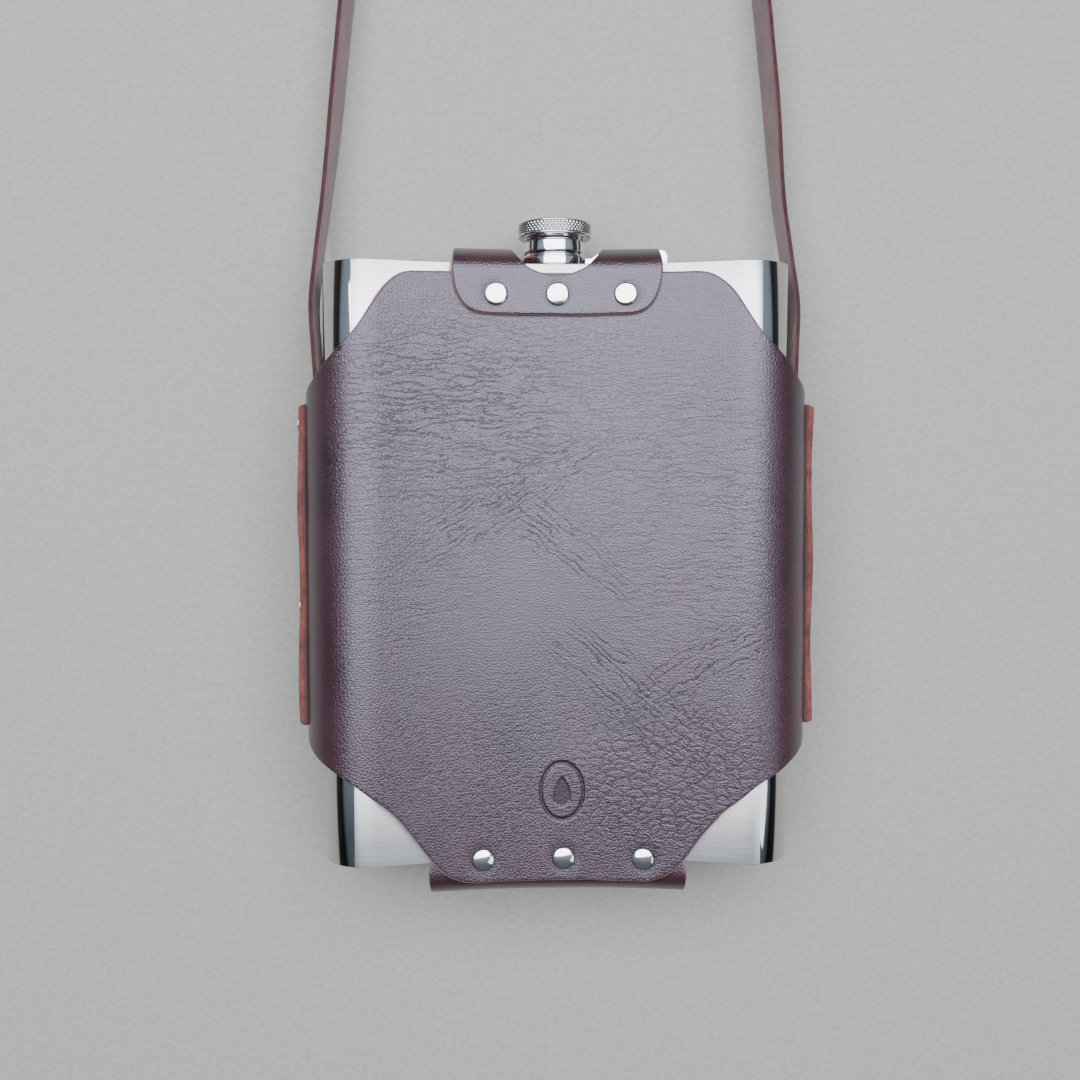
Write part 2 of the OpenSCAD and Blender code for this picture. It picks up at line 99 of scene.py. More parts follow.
def make_piece(name, points, faces, kinds=None, flat=None, marks=None, materials=()):
    """A mesh piece from points in mm, with its faces turned outwards.

    The signed volume of all tetrahedra from the origin to the faces is negative where the faces
    point inwards, and then every face is reversed. flat gives each point's place on the flat cut
    for the UV map, and marks are named values at the points.
    """
    points = np.asarray(points, float) * MM
    tri = np.concatenate([
        np.asarray(f)[:, [0, i, i + 1]] for f in faces for i in range(1, np.shape(f)[1] - 1)])
    a, b, c = points[tri[:, 0]], points[tri[:, 1]], points[tri[:, 2]]
    if (np.einsum("ij,ij->i", a, np.cross(b, c))).sum() < 0:
        faces = [np.asarray(f)[:, ::-1] for f in faces]
    mesh = bpy.data.meshes.new(name)
    mesh.from_pydata(points.tolist(), [], [row for f in faces for row in np.asarray(f).tolist()])
    if kinds is not None:
        mesh.polygons.foreach_set("material_index", np.concatenate(kinds).astype(np.int32))
    if flat is not None:
        corner = np.zeros(len(mesh.loops), np.int32)
        mesh.loops.foreach_get("vertex_index", corner)
        layer = mesh.uv_layers.new(name="flat_cut")
        layer.data.foreach_set("uv", (np.asarray(flat)[corner] * MM).astype(np.float32).ravel())
    for mark, values in (marks or {}).items():
        mesh.attributes.new(mark, "FLOAT", "POINT").data.foreach_set("value", np.asarray(values, np.float32))
    mesh.polygons.foreach_set("use_smooth", np.ones(len(mesh.polygons), bool))
    for material in materials:
        mesh.materials.append(material)
    mesh.update()
    piece = bpy.data.objects.new(name, mesh)
    bpy.context.scene.collection.objects.link(piece)
    return piece


def grid_faces(rows, columns, wrap=False):
    """Quads between neighbouring rows and columns of a grid, closed on itself across if wrap."""
    i, j = np.meshgrid(np.arange(rows - 1), np.arange(columns if wrap else columns - 1), indexing="ij")
    right = (j + 1) % columns
    here, above = i * columns, (i + 1) * columns
    quads = np.stack([here + j, here + right, above + right, above + j], -1)
    return quads.reshape(-1, 4)


def turned(profile, count, swell=None):
    """A profile of (radius, height) pairs carried once round an axis.

    Point (i, j) is profile point i at the angle 2 pi j / count. The first and last rows, on the
    axis, become one point each and close the poles with triangles. swell(angle, height) is added
    to the radius. Gives points as (across, across, along) and the faces.
    """
    profile = np.asarray(profile, float)
    angle = np.arange(count) * 2 * np.pi / count
    radius = profile[1:-1, :1] + (0 if swell is None else swell(angle[None, :], profile[1:-1, 1:]))
    height = np.broadcast_to(profile[1:-1, 1:], (len(profile) - 2, count))
    body = np.stack([radius * np.cos(angle), radius * np.sin(angle), height], -1).reshape(-1, 3)
    n = len(body)
    ring = np.arange(count)
    after = (ring + 1) % count
    low = np.stack([np.full(count, n), after, ring], 1)
    last = n - count
    high = np.stack([np.full(count, n + 1), last + ring, last + after], 1)
    points = np.concatenate([body, [[0, 0, profile[0, 1]], [0, 0, profile[-1, 1]]]])
    return points, [grid_faces(len(profile) - 2, count, wrap=True), low, high]


def on_neck(points):
    """Points about a vertical axis, moved to the neck: height goes along Y from the shoulder plate."""
    return np.stack([points[:, 0], PLATE_Y + points[:, 2], NECK_Z - points[:, 1]], 1)


# ---- the flask's section line -----------------------------------------------------------------

def steel_line(step=0.5):
    """Right half of the flask's section from the middle of the back to the middle of the front.

    Each arc is sampled every step mm or so. Gives points (x, z) and outward unit normals; any layer
    outside the steel is point + normal * distance.
    """
    back_c = np.array([REST_HALF, BACK_Z + BACK_R])
    edge_x = SIDE_X - BACK_EDGE_R
    drop = math.sqrt((BACK_R - BACK_EDGE_R) ** 2 - (edge_x - REST_HALF) ** 2)
    back_edge_c = np.array([edge_x, back_c[1] - drop])
    front_c = np.array([0, FRONT_Z + FRONT_R])
    edge_x = SIDE_X - FRONT_EDGE_R
    front_edge_c = np.array([edge_x, front_c[1] - math.sqrt((FRONT_R + FRONT_EDGE_R) ** 2 - edge_x ** 2)])
    turn = math.atan2(*(back_edge_c - back_c)[::-1])
    front_turn = math.atan2(front_c[1] - front_edge_c[1], -front_edge_c[0])
    points, normals = [[[0, BACK_Z]]], [[[0, -1]]]
    for centre, radius, start, end, side in (
            (back_c, BACK_R, -math.pi / 2, turn, 1), (back_edge_c, BACK_EDGE_R, turn, 0, 1),
            (front_edge_c, FRONT_EDGE_R, 0, front_turn, 1),
            (front_c, FRONT_R, front_turn - math.pi, -math.pi / 2, -1)):
        count = max(int(abs(end - start) * radius / step), 8)
        angle = np.linspace(start, end, count + 1)
        way = np.stack([np.cos(angle), np.sin(angle)], 1)
        points.append(centre + radius * way)
        normals.append(side * way)
    return np.concatenate(points), np.concatenate(normals)


LINE, NORMALS = steel_line()


def smooth(u):
    """0 below 0, 1 above 1 and an even S curve between."""
    u = np.clip(u, 0, 1)
    return u * u * (3 - 2 * u)


class Layer:
    """A layer of leather bent across the flask: places on its middle line by distance s from one middle.

    s is the length along the layer's own middle line, so a flat cut keeps its size when it is bent.
    """

    def __init__(self, points, normals):
        step = np.linalg.norm(np.diff(points, axis=0), axis=1)
        keep = np.concatenate([[True], step > 1e-6])
        self.points, self.normals = points[keep], normals[keep]
        self.s = np.concatenate([[0], np.cumsum(step[step > 1e-6])])

    def at(self, s):
        """x, z and the outward normal at distance s, mirrored for a negative s."""
        side, far = np.sign(s), np.abs(s)
        x, z = (np.interp(far, self.s, self.points[:, k]) for k in (0, 1))
        nx, nz = (np.interp(far, self.s, self.normals[:, k]) for k in (0, 1))
        size = np.hypot(nx, nz)
        return side * x, z, side * nx / size, nz / size

    def s_of_x(self, x):
        """Distance along the layer at which it first comes to x."""
        widest = int(self.points[:, 0].argmax()) + 1
        return np.interp(x, self.points[:widest, 0], self.s[:widest])


# ---- leather ----------------------------------------------------------------------------------

def rounded_loop(corners, step, passes):
    """A closed outline resampled every step mm, and softened by averaging each point with its neighbours."""
    corners = np.asarray(corners, float)
    closed = np.concatenate([corners, corners[:1]])
    length = np.concatenate([[0], np.cumsum(np.linalg.norm(np.diff(closed, axis=0), axis=1))])
    count = int(length[-1] / step)
    at = np.arange(count) * length[-1] / count
    loop = np.stack([np.interp(at, length, closed[:, k]) for k in (0, 1)], 1)
    for _ in range(passes):
        loop = (np.roll(loop, 1, 0) + 2 * loop + np.roll(loop, -1, 0)) / 4
    return loop


def outward(loop):
    """Unit normals of an anticlockwise outline, pointing out of it."""
    way = np.roll(loop, -1, 0) - np.roll(loop, 1, 0)
    way /= np.linalg.norm(way, axis=1, keepdims=True)
    return np.stack([way[:, 1], -way[:, 0]], 1)


def hand_cut(loop, depth):
    """A knife's wander: the outline moves in and out by a sum of four slow waves along its length."""
    u = np.linspace(0, 2 * np.pi, len(loop), endpoint=False)
    wave = sum(np.sin(k * u + p) for k, p in ((9, 0.4), (17, 2.1), (31, 4.0), (53, 1.3))) / 3
    return loop + outward(loop) * (wave * depth)[:, None]


def inside(points, loop):
    """True where a level line from the point crosses the outline an odd number of times."""
    a, b = loop, np.roll(loop, -1, 0)
    above = (a[:, 1] > points[:, 1:2]) != (b[:, 1] > points[:, 1:2])
    with np.errstate(divide="ignore", invalid="ignore"):
        cross = a[:, 0] + (points[:, 1:2] - a[:, 1]) * (b[:, 0] - a[:, 0]) / (b[:, 1] - a[:, 1])
    return ((points[:, :1] < cross) & above).sum(1) % 2 == 1


def cut_sheet(loop, step, fine=None, fine_step=0.36):
    """A flat cut filled with a triangular grid of points step mm apart, finer inside the box fine."""
    low, high = loop.min(0), loop.max(0)

    def lattice(a, b, size):
        x, y = np.meshgrid(np.arange(a[0], b[0], size), np.arange(a[1], b[1], size * 0.866))
        x[1::2] += size / 2
        return np.stack([x.ravel(), y.ravel()], 1)

    points = lattice(low, high, step)
    if fine is not None:
        a, b = np.array(fine, float)
        out = ((points < a - step * 0.4) | (points > b + step * 0.4)).any(1)
        points = np.concatenate([points[out], lattice(a, b, fine_step)])
    points = points[inside(points, loop)]
    near = np.concatenate([
        np.sqrt(((part[:, None] - loop) ** 2).sum(-1).min(1)) for part in np.array_split(points, 24)])
    points = np.concatenate([loop, points[near > step * 0.55]])
    m = len(loop)
    edges = np.stack([np.arange(m), (np.arange(m) + 1) % m], 1).tolist()
    _, _, faces, origin, _, _ = delaunay_2d_cdt(list(map(Vector, points.tolist())), edges, [], 0, 1e-6)
    first = np.array([o[0] for o in origin])
    tri = first[np.array([f for f in faces if len(f) == 3])]
    return points, tri[inside(points[tri].mean(1), loop)]


# Rounding of a cut edge: (inset from the outline, depth from the grain side) as shares of the thickness
EDGE = ((0.40, 0), (0.33, 0.02), (0.28, 0.08), (0.17, 0.32), (0.06, 0.62), (0, 0.86), (0.04, 0.97), (0.13, 1))


def leather_piece(name, loop, step, place, thickness, materials, dent=None, fine=None):
    """A flat cut laid on its carrier, with a grain side, a raw edge and a flesh side.

    place(s, l, depth) gives the place of a point of the flat cut at a depth below the grain side.
    The outline's points draw in towards the piece and go down through the thickness along EDGE.
    dent(s, l) sinks the grain side alone.
    """
    points, tri = cut_sheet(loop, step, fine)
    m, out = len(loop), outward(loop)
    rings = [loop - out * inset * thickness for inset, _ in EDGE]
    depths = [np.full(m, depth * thickness) for _, depth in EDGE]
    grain, flesh = points.copy(), points.copy()
    grain[:m], flesh[:m] = rings[0], rings[-1]
    sunk = np.zeros(len(points)) if dent is None else dent(grain[:, 0], grain[:, 1])
    flat = np.concatenate([grain, *rings[1:-1], flesh])
    depth = np.concatenate([sunk, *depths[1:-1], np.full(len(flesh), thickness)])
    n, k = len(points), len(EDGE)
    start = np.array([0] + [n + (r - 1) * m for r in range(1, k - 1)] + [n + (k - 2) * m])
    i = np.arange(m)
    nxt = (i + 1) % m
    rim = [np.stack([start[r] + i, start[r + 1] + i, start[r + 1] + nxt, start[r] + nxt], 1)
           for r in range(k - 1)]
    faces = [tri, *rim, tri[:, ::-1] + start[-1]]
    rim_kinds = [np.full(m, 0 if r < 2 else 1) for r in range(k - 1)]
    kinds = [np.zeros(len(tri)), *rim_kinds, np.full(len(tri), 2)]
    # The grain's sinking is kept as the pressed mark; the grain finish darkens there as painted shade.
    mark = np.concatenate([sunk, np.zeros(len(flat) - n)])
    return make_piece(name, place(flat[:, 0], flat[:, 1], depth), faces, kinds, flat, {"pressed": mark},
        materials)


def panel_layer(thickness):
    """The front panel's middle line, from the middle of the front round the sides to the wings' ends."""
    gap = PANEL_IN + thickness / 2
    line = Layer((LINE + NORMALS * gap)[::-1], NORMALS[::-1])
    wing_end = -math.radians(38)
    angle = np.arctan2(line.normals[:, 1], line.normals[:, 0])
    past = (line.points[:, 0] > 60) & (angle < wing_end)
    return line, line.s[past].min()


def back_layer(thickness):
    """The back panel's middle line: it leaves the steel by an S curve, so its flaps clear the wings."""
    length = np.concatenate([[0], np.cumsum(np.linalg.norm(np.diff(LINE, axis=0), axis=1))])
    angle = np.degrees(np.arctan2(NORMALS[:, 1], NORMALS[:, 0]))
    splay = np.where((LINE[:, 0] > 60) & (LINE[:, 1] > 36), 1.2 * np.clip(angle / 10, 0, 1) ** 2, 0)
    gap = BACK_SLACK + (OVER_IN - BACK_SLACK) * smooth((length - REST_HALF - 20) / 57) + thickness / 2 + splay
    keep = (angle <= 10.01) & (length < 140)
    return Layer((LINE + NORMALS * gap[:, None])[keep], NORMALS[keep])


def front_at(x):
    """Height of the hollow front's steel at x."""
    return FRONT_Z + FRONT_R - np.sqrt(FRONT_R ** 2 - x ** 2)


class Fold:
    """The back panel's tongue where it folds round one end of the flask.

    At each x it is a cubic curve in the YZ plane, from the back to the front; places on it are found
    by the length travelled from its start, measured on the curve at x 20, and past it the tongue
    runs straight back over the front.
    """

    def __init__(self, ys, front_gap, end):
        self.ys, self.front_gap, self.end = ys, front_gap, end
        t = np.linspace(0, 1, 201)
        y, z, _, _ = self.curve(t, BACK_Z - BACK_SLACK - 1.3, np.full(201, 20.0))
        self.length = np.concatenate([[0], np.cumsum(np.hypot(np.diff(y), np.diff(z)))])
        self.t = t

    def curve(self, t, z0, x):
        z3 = front_at(x) + self.front_gap
        zs = (z0, z0, z3, z3)
        weights = ((1 - t) ** 3, 3 * t * (1 - t) ** 2, 3 * t * t * (1 - t), t ** 3)
        y, z = (sum(w * p for w, p in zip(weights, ps)) for ps in (self.ys, zs))
        slopes = (3 * (1 - t) ** 2, 6 * t * (1 - t), 3 * t * t)
        dy, dz = (sum(w * (ps[k + 1] - ps[k]) for k, w in enumerate(slopes)) for ps in (self.ys, zs))
        size = np.hypot(dy, dz)
        return y, z, self.end * dz / size, -self.end * dy / size

    def place(self, far, z0, x):
        """y, z and the outward normal at a length far beyond the fold's start."""
        t = np.interp(far, self.length, self.t)
        y, z, ny, nz = self.curve(t, z0, x)
        return y - self.end * np.maximum(far - self.length[-1], 0), z, ny, nz

    def far_of_y(self, y, front):
        """Length beyond the start at which the fold comes to y, before its crest or after it."""
        far = np.linspace(-30, self.length[-1] + 30, 1200)
        at = np.where(far < 0, self.ys[0] + self.end * far,
            self.place(np.maximum(far, 0), 1.3, np.full(1200, 20.0))[0])
        crest = (at * self.end).argmax()
        part = slice(crest, None) if front else slice(crest + 1)
        order = np.argsort(at[part])
        return np.interp(y, at[part][order], far[part][order])

    def far_of_z(self, z, x):
        far = np.linspace(0, self.length[-1], 400)
        return np.interp(z, self.place(far, 1.3, np.full(400, float(x)))[1], far)


class PanelSizes(bpy.types.PropertyGroup):
    thickness: bpy.props.FloatProperty(name="Thickness", description="Thickness of the panels",
        default=0.0026, min=0.002, max=0.0026, unit="LENGTH")
    spacing: bpy.props.FloatProperty(name="Grid",
        description="Distance between the points of a panel's surface", default=0.0022, min=0.0015, max=0.004,
        unit="LENGTH")
    wander: bpy.props.FloatProperty(name="Wander", description="How far the hand-cut edges wander",
        default=0.00022, min=0, max=0.0006, precision=5, unit="LENGTH")
    grain_colour: bpy.props.FloatVectorProperty(name="Grain colour",
        description="Colour of the finished grain side", subtype="COLOR", size=4, min=0, max=1,
        default=linear("#231014"))
    flesh_colour: bpy.props.FloatVectorProperty(name="Flesh colour",
        description="Colour of the sueded back of the leather", subtype="COLOR", size=4, min=0, max=1,
        default=linear("#8f5850"))
    edge_colour: bpy.props.FloatVectorProperty(name="Edge colour", description="Colour of the raw cut edges",
        subtype="COLOR", size=4, min=0, max=1, default=linear("#7a443d"))


class StrapSizes(bpy.types.PropertyGroup):
    width: bpy.props.FloatProperty(name="Width", description="Width of the strap", default=0.020, min=0.016,
        max=0.020, unit="LENGTH")
    thickness: bpy.props.FloatProperty(name="Thickness", description="Thickness of the strap", default=0.002,
        min=0.0015, max=0.002, unit="LENGTH")


class SteelSizes(bpy.types.PropertyGroup):
    colour: bpy.props.FloatVectorProperty(name="Steel colour",
        description="Colour of the brushed stainless steel", subtype="COLOR", size=4, min=0, max=1,
        default=linear("#dcdbd8"))
    # The buffed colour is the steel's own colour, set darker than the brushed front as painted shade, so that
    # the sides reflect the floor as if it were shaded round the flask.
    buffed_colour: bpy.props.FloatVectorProperty(name="Buffed colour",
        description="Colour of the mirror-buffed sides", subtype="COLOR", size=4, min=0, max=1,
        default=linear("#c6c4bf"))
    brush: bpy.props.FloatProperty(name="Brush lines", description="Distance between brush lines",
        default=0.0005, min=0.0001, max=0.002, precision=5, unit="LENGTH")
    knurl_count: bpy.props.IntProperty(name="Knurls", description="Ridges of the knurl round the cap",
        default=60, min=30, max=90)
    knurl_depth: bpy.props.FloatProperty(name="Knurl depth", description="Depth of the knurl",
        default=0.00045, min=0.0001, max=0.0006, precision=5, unit="LENGTH")


class StageSizes(bpy.types.PropertyGroup):
    floor_colour: bpy.props.FloatVectorProperty(name="Floor colour", description="Colour of the plain floor",
        subtype="COLOR", size=4, min=0, max=1, default=linear("#94918a"))
    camera_height: bpy.props.FloatProperty(name="Camera height",
        description="Height of the camera over the floor", default=0.5587, min=0.3, max=2, unit="LENGTH")
    focal: bpy.props.FloatProperty(name="Focal length", description="Focal length for a 36 mm sensor",
        default=41.92, min=20, max=80, unit="CAMERA")
    key: bpy.props.FloatProperty(name="Key light", description="Power of the large soft light", default=68,
        min=1, max=200, unit="POWER")


# ---- materials --------------------------------------------------------------------------------

def add_node(tree, kind, inputs=None, **settings):
    """Adds a shader node with its settings, and sets its inputs or links them.

    An input may be a value, a socket, or a node, whose first output is then linked.
    """
    node = tree.nodes.new("ShaderNode" + kind)
    for key, value in settings.items():
        setattr(node, key, value)
    for key, value in (inputs or {}).items():
        socket = node.inputs[key]
        if isinstance(value, bpy.types.Node):
            value = value.outputs[0]
        if isinstance(value, bpy.types.NodeSocket):
            tree.links.new(value, socket)
        else:
            socket.default_value = value
    return node


def new_material(name, preview):
    """An empty material with its output, and the tree to fill."""
    material = bpy.data.materials.new(name)
    material.use_nodes = True
    material.node_tree.nodes.clear()
    material.diffuse_color = preview
    return material, material.node_tree


def held_inside(tree, where, ovals):
    """1 in each oval, falling to 0 at its edge. An oval is (middle, half sizes, turn, strength)."""
    held = 0.0
    for centre, size, lean, strength in ovals:
        oval = add_node(tree, "Mapping", {
            "Vector": where, "Location": (centre[0] * MM, centre[1] * MM, 0),
            "Rotation": (0, 0, math.radians(lean)),
            "Scale": (size[0] * MM, size[1] * MM, 1)}, vector_type="TEXTURE")
        far = add_node(tree, "VectorMath", {0: oval}, operation="LENGTH").outputs["Value"]
        share = add_node(tree, "MapRange", {0: far, 1: 0.3, 2: 1.0, 3: strength, 4: 0.0},
            interpolation_type="SMOOTHSTEP")
        held = add_node(tree, "Math", {0: share, 1: held}, operation="MAXIMUM")
    return held


def pressed_folds(tree, far, fade, widths, reach, held):
    """Thin cracks where far is near 0, as wide as fade says, and rolls as wide as reach, both held."""
    low, high, wide = widths
    width = add_node(tree, "MapRange", {0: fade, 1: low, 2: high, 3: 0.004, 4: wide})
    parts = []
    for size in (width, reach):
        part = add_node(tree, "MapRange", {0: far, 1: 0.0, 2: size, 3: 1.0, 4: 0.0},
            interpolation_type="SMOOTHSTEP")
        parts.append(add_node(tree, "Math", {0: part, 1: held}, operation="MULTIPLY"))
    return parts


def crease_lines(tree, where, turn, apart, seed, ovals):
    """Long folds pressed into the hide, apart mm from each other: (thin cracks, the rolls between them).

    The place across the folds, in steps of apart, is pushed about by a noise, and a crack runs where
    the result passes a whole number. A second noise sets the crack's width, so it fades in and out.
    """
    laid = add_node(tree, "Mapping", {
        "Vector": where, "Location": (seed * 0.031, seed * 0.017, 0), "Rotation": (0, 0, math.radians(turn)),
        "Scale": (2.3 * apart * MM, apart * MM, 1)}, vector_type="TEXTURE")
    push = add_node(tree, "TexNoise", {"Vector": laid, "Scale": 0.42, "Detail": 4.0, "Roughness": 0.62},
        noise_dimensions="2D")
    across = add_node(tree, "SeparateXYZ", {0: laid}).outputs["Y"]
    steps = add_node(tree, "Math", {0: push, 1: 3.0, 2: across}, operation="MULTIPLY_ADD")
    far = add_node(tree, "Math", {0: steps, 1: 0.5}, operation="PINGPONG")
    fade = add_node(tree, "TexNoise", {"Vector": laid, "Scale": 0.5, "Detail": 2.0, "W": seed},
        noise_dimensions="4D")
    crack, roll = pressed_folds(tree, far, fade, (0.42, 0.56, 0.085), 0.4, held_inside(tree, where, ovals))
    plump = add_node(tree, "MapRange", {0: fade, 1: 0.36, 2: 0.6})
    return crack, add_node(tree, "Math", {0: roll, 1: plump}, operation="MULTIPLY")


def crease_net(tree, where, turn, cell, seed, ovals):
    """Folds that meet as a net of cells, cell mm high: (thin cracks, the soft rolls between them).

    A crack runs where two cells of a net of scattered points meet; a noise pushes the places about.
    """
    laid = add_node(tree, "Mapping", {
        "Vector": where, "Location": (seed * 0.031, seed * 0.017, 0), "Rotation": (0, 0, math.radians(turn)),
        "Scale": (1.7 * cell * MM, cell * MM, 1)}, vector_type="TEXTURE")
    push = add_node(tree, "TexNoise", {"Vector": laid, "Scale": 0.8, "Detail": 3.0, "Roughness": 0.6})
    bent = add_node(tree, "VectorMath", {0: push.outputs["Color"], 1: (1.0, 1.4, 0), 2: laid},
        operation="MULTIPLY_ADD")
    far = add_node(tree, "TexVoronoi", {"Vector": bent, "Scale": 1.0}, feature="DISTANCE_TO_EDGE",
        voronoi_dimensions="2D")
    fade = add_node(tree, "TexNoise", {"Vector": bent, "Scale": 0.5, "Detail": 1.0}, noise_dimensions="2D")
    return pressed_folds(tree, far, fade, (0.36, 0.62, 0.08), 0.34, held_inside(tree, where, ovals))


# Where the front panel's hide is creased: (kind, turn, mm apart, seed, ovals)
PANEL_CREASES = (
    (crease_lines, 6, 2.9, 3.1, (
        ((-44, 56), (72, 56), 0, 0.9), ((50, 20), (70, 90), 0, 0.5), ((-62, 0), (60, 70), 0, 0.4))),
    (crease_lines, -7, 3.3, 7.7, (
        ((-40, 60), (76, 54), 0, 0.9), ((56, 10), (66, 100), 0, 0.4), ((50, -92), (70, 42), 0, 0.7))),
    (crease_lines, 31, 2.5, 1.9, (((-24, 22), (70, 16), 31, 1.3), ((60, -42), (68, 16), 31, 1.1))),
    (crease_lines, -40, 2.7, 5.3, (((0, 8), (54, 16), -40, 1.1), ((34, -58), (72, 22), -40, 1.1))),
    (crease_net, 6, 3.2, 7.7, (((46, -88), (66, 50), 0, 0.9), ((0, -80), (110, 60), 0, 0.35))),
    (crease_net, -4, 2.3, 2.2, (((-20, 50), (130, 100), 0, 0.35),)),
)
PLAIN_CREASES = ((crease_lines, 4, 3.0, 4.4, (((0, 40), (170, 170), 0, 0.5),)),
                 (crease_net, 0, 2.8, 1.4, (((0, 0), (170, 200), 0, 0.35),)))


def grain_leather(name, grain, worn, folds):
    """Semi-gloss chrome-tanned cowhide with a printed pebble grain, under a thin acrylic finish.

    The eye sees a dark red-brown body, a broad cool shine, fine pebbles, and a net of fine creases
    where the hide was folded. The real pebble is near 0.7 mm; it is drawn at 1.25 mm so that it shows.
    """
    material, tree = new_material(name, grain)
    where = add_node(tree, "UVMap", uv_map="flat_cut")
    stretched = add_node(tree, "Mapping", {"Vector": where, "Scale": (0.8 / (1.25 * MM), 1 / (1.25 * MM), 1)})
    groove = add_node(tree, "TexVoronoi", {"Vector": stretched, "Scale": 1.0}, feature="DISTANCE_TO_EDGE",
        voronoi_dimensions="2D")
    pebble = add_node(tree, "MapRange", {0: groove, 1: 0.0, 2: 0.3}, interpolation_type="SMOOTHSTEP")
    fine = add_node(tree, "TexNoise", {"Vector": where, "Scale": 1 / (0.9 * MM), "Detail": 2.0})
    cracks, rolls = 0.0, 0.0
    for kind, turn, apart, seed, ovals in folds:
        crack, roll = kind(tree, where, turn, apart, seed, ovals)
        cracks = add_node(tree, "Math", {0: crack, 1: cracks}, operation="MAXIMUM")
        rolls = add_node(tree, "Math", {0: roll, 1: rolls}, operation="MAXIMUM")
    # Heights in steps of 0.2 mm: pebbles, then a little pore noise, less the rolls and the cracks
    height = add_node(tree, "Math", {0: pebble, 1: 0.36}, operation="MULTIPLY")
    for layer, share in ((fine, 0.4), (rolls, -0.6), (cracks, -0.7)):
        height = add_node(tree, "Math", {0: layer, 1: share, 2: height}, operation="MULTIPLY_ADD")
    bump = add_node(tree, "Bump", {"Strength": 0.8, "Distance": 0.22 * MM, "Height": height})
    cloud = add_node(tree, "TexNoise", {"Vector": where, "Scale": 28.0, "Detail": 4.0, "Roughness": 0.6})
    mottle = add_node(tree, "MapRange", {0: cloud, 1: 0.3, 2: 0.75, 3: 0.0, 4: 0.6})
    body = add_node(tree, "MixRGB", {"Fac": mottle, "Color1": grain, "Color2": linear(worn)})
    # Painted shade: the colour darkens towards near black in the cracks of the creases and where the grain is
    # pressed down, in the stamped drop and the dents round the rivet caps.
    pressed = add_node(tree, "Attribute", attribute_name="pressed").outputs["Fac"]
    pressed_shade = add_node(tree, "MapRange", {0: pressed, 1: 0.08, 2: 0.45, 3: 0.0, 4: 0.55})
    dark = add_node(tree, "Math", {0: cracks, 1: 0.5, 2: pressed_shade}, operation="MULTIPLY_ADD", use_clamp=True)
    colour = add_node(tree, "MixRGB", {"Fac": dark, "Color1": body, "Color2": linear("#12070a")})
    # Worn places are duller, and the finish has cracked off inside the creases
    dull = add_node(tree, "MapRange", {0: cloud, 1: 0.3, 2: 0.75, 3: 0.30, 4: 0.38})
    rough = add_node(tree, "Math", {0: dark, 1: 0.3, 2: dull}, operation="MULTIPLY_ADD")
    gloss = add_node(tree, "MapRange", {0: dark, 1: 0.0, 2: 1.0, 3: 0.75, 4: 0.15})
    # The specular tint is a faint painted blue, standing in for the cool sky in the shine.
    shader = add_node(tree, "BsdfPrincipled", {
        "Base Color": colour, "Roughness": rough, "Normal": bump, "IOR": 1.5, "Specular IOR Level": gloss,
        "Specular Tint": linear("#eaeaff"), "Coat Weight": 0.25, "Coat Roughness": 0.32})
    add_node(tree, "OutputMaterial", {"Surface": shader})
    return material


def raw_leather(name, colour, deep, fibre, gap):
    """Cut or split leather with no finish: loose collagen fibres, so it is dull, warm and uneven."""
    material, tree = new_material(name, colour)
    where = add_node(tree, "TexCoord").outputs["Object"]
    coarse = add_node(tree, "TexNoise", {
        "Vector": where, "Scale": 1 / (fibre * MM), "Detail": 4.0, "Roughness": 0.7, "Distortion": 0.6})
    patchy = add_node(tree, "TexNoise", {"Vector": where, "Scale": 1 / (gap * MM), "Detail": 2.0})
    part = add_node(tree, "Math", {0: patchy, 1: 0.4}, operation="MULTIPLY")
    tone = add_node(tree, "Math", {0: coarse, 1: 0.6, 2: part}, operation="MULTIPLY_ADD")
    share = add_node(tree, "MapRange", {0: tone, 1: 0.35, 2: 0.65})
    mixed = add_node(tree, "MixRGB", {"Fac": share, "Color1": linear(deep), "Color2": colour})
    bump = add_node(tree, "Bump", {"Strength": 0.8, "Distance": 0.3 * MM, "Height": coarse})
    shader = add_node(tree, "BsdfPrincipled", {
        "Base Color": mixed, "Roughness": 0.86, "Normal": bump, "Specular IOR Level": 0.25,
        "Sheen Weight": 0.25, "Sheen Roughness": 0.5})
    add_node(tree, "OutputMaterial", {"Surface": shader})
    return material


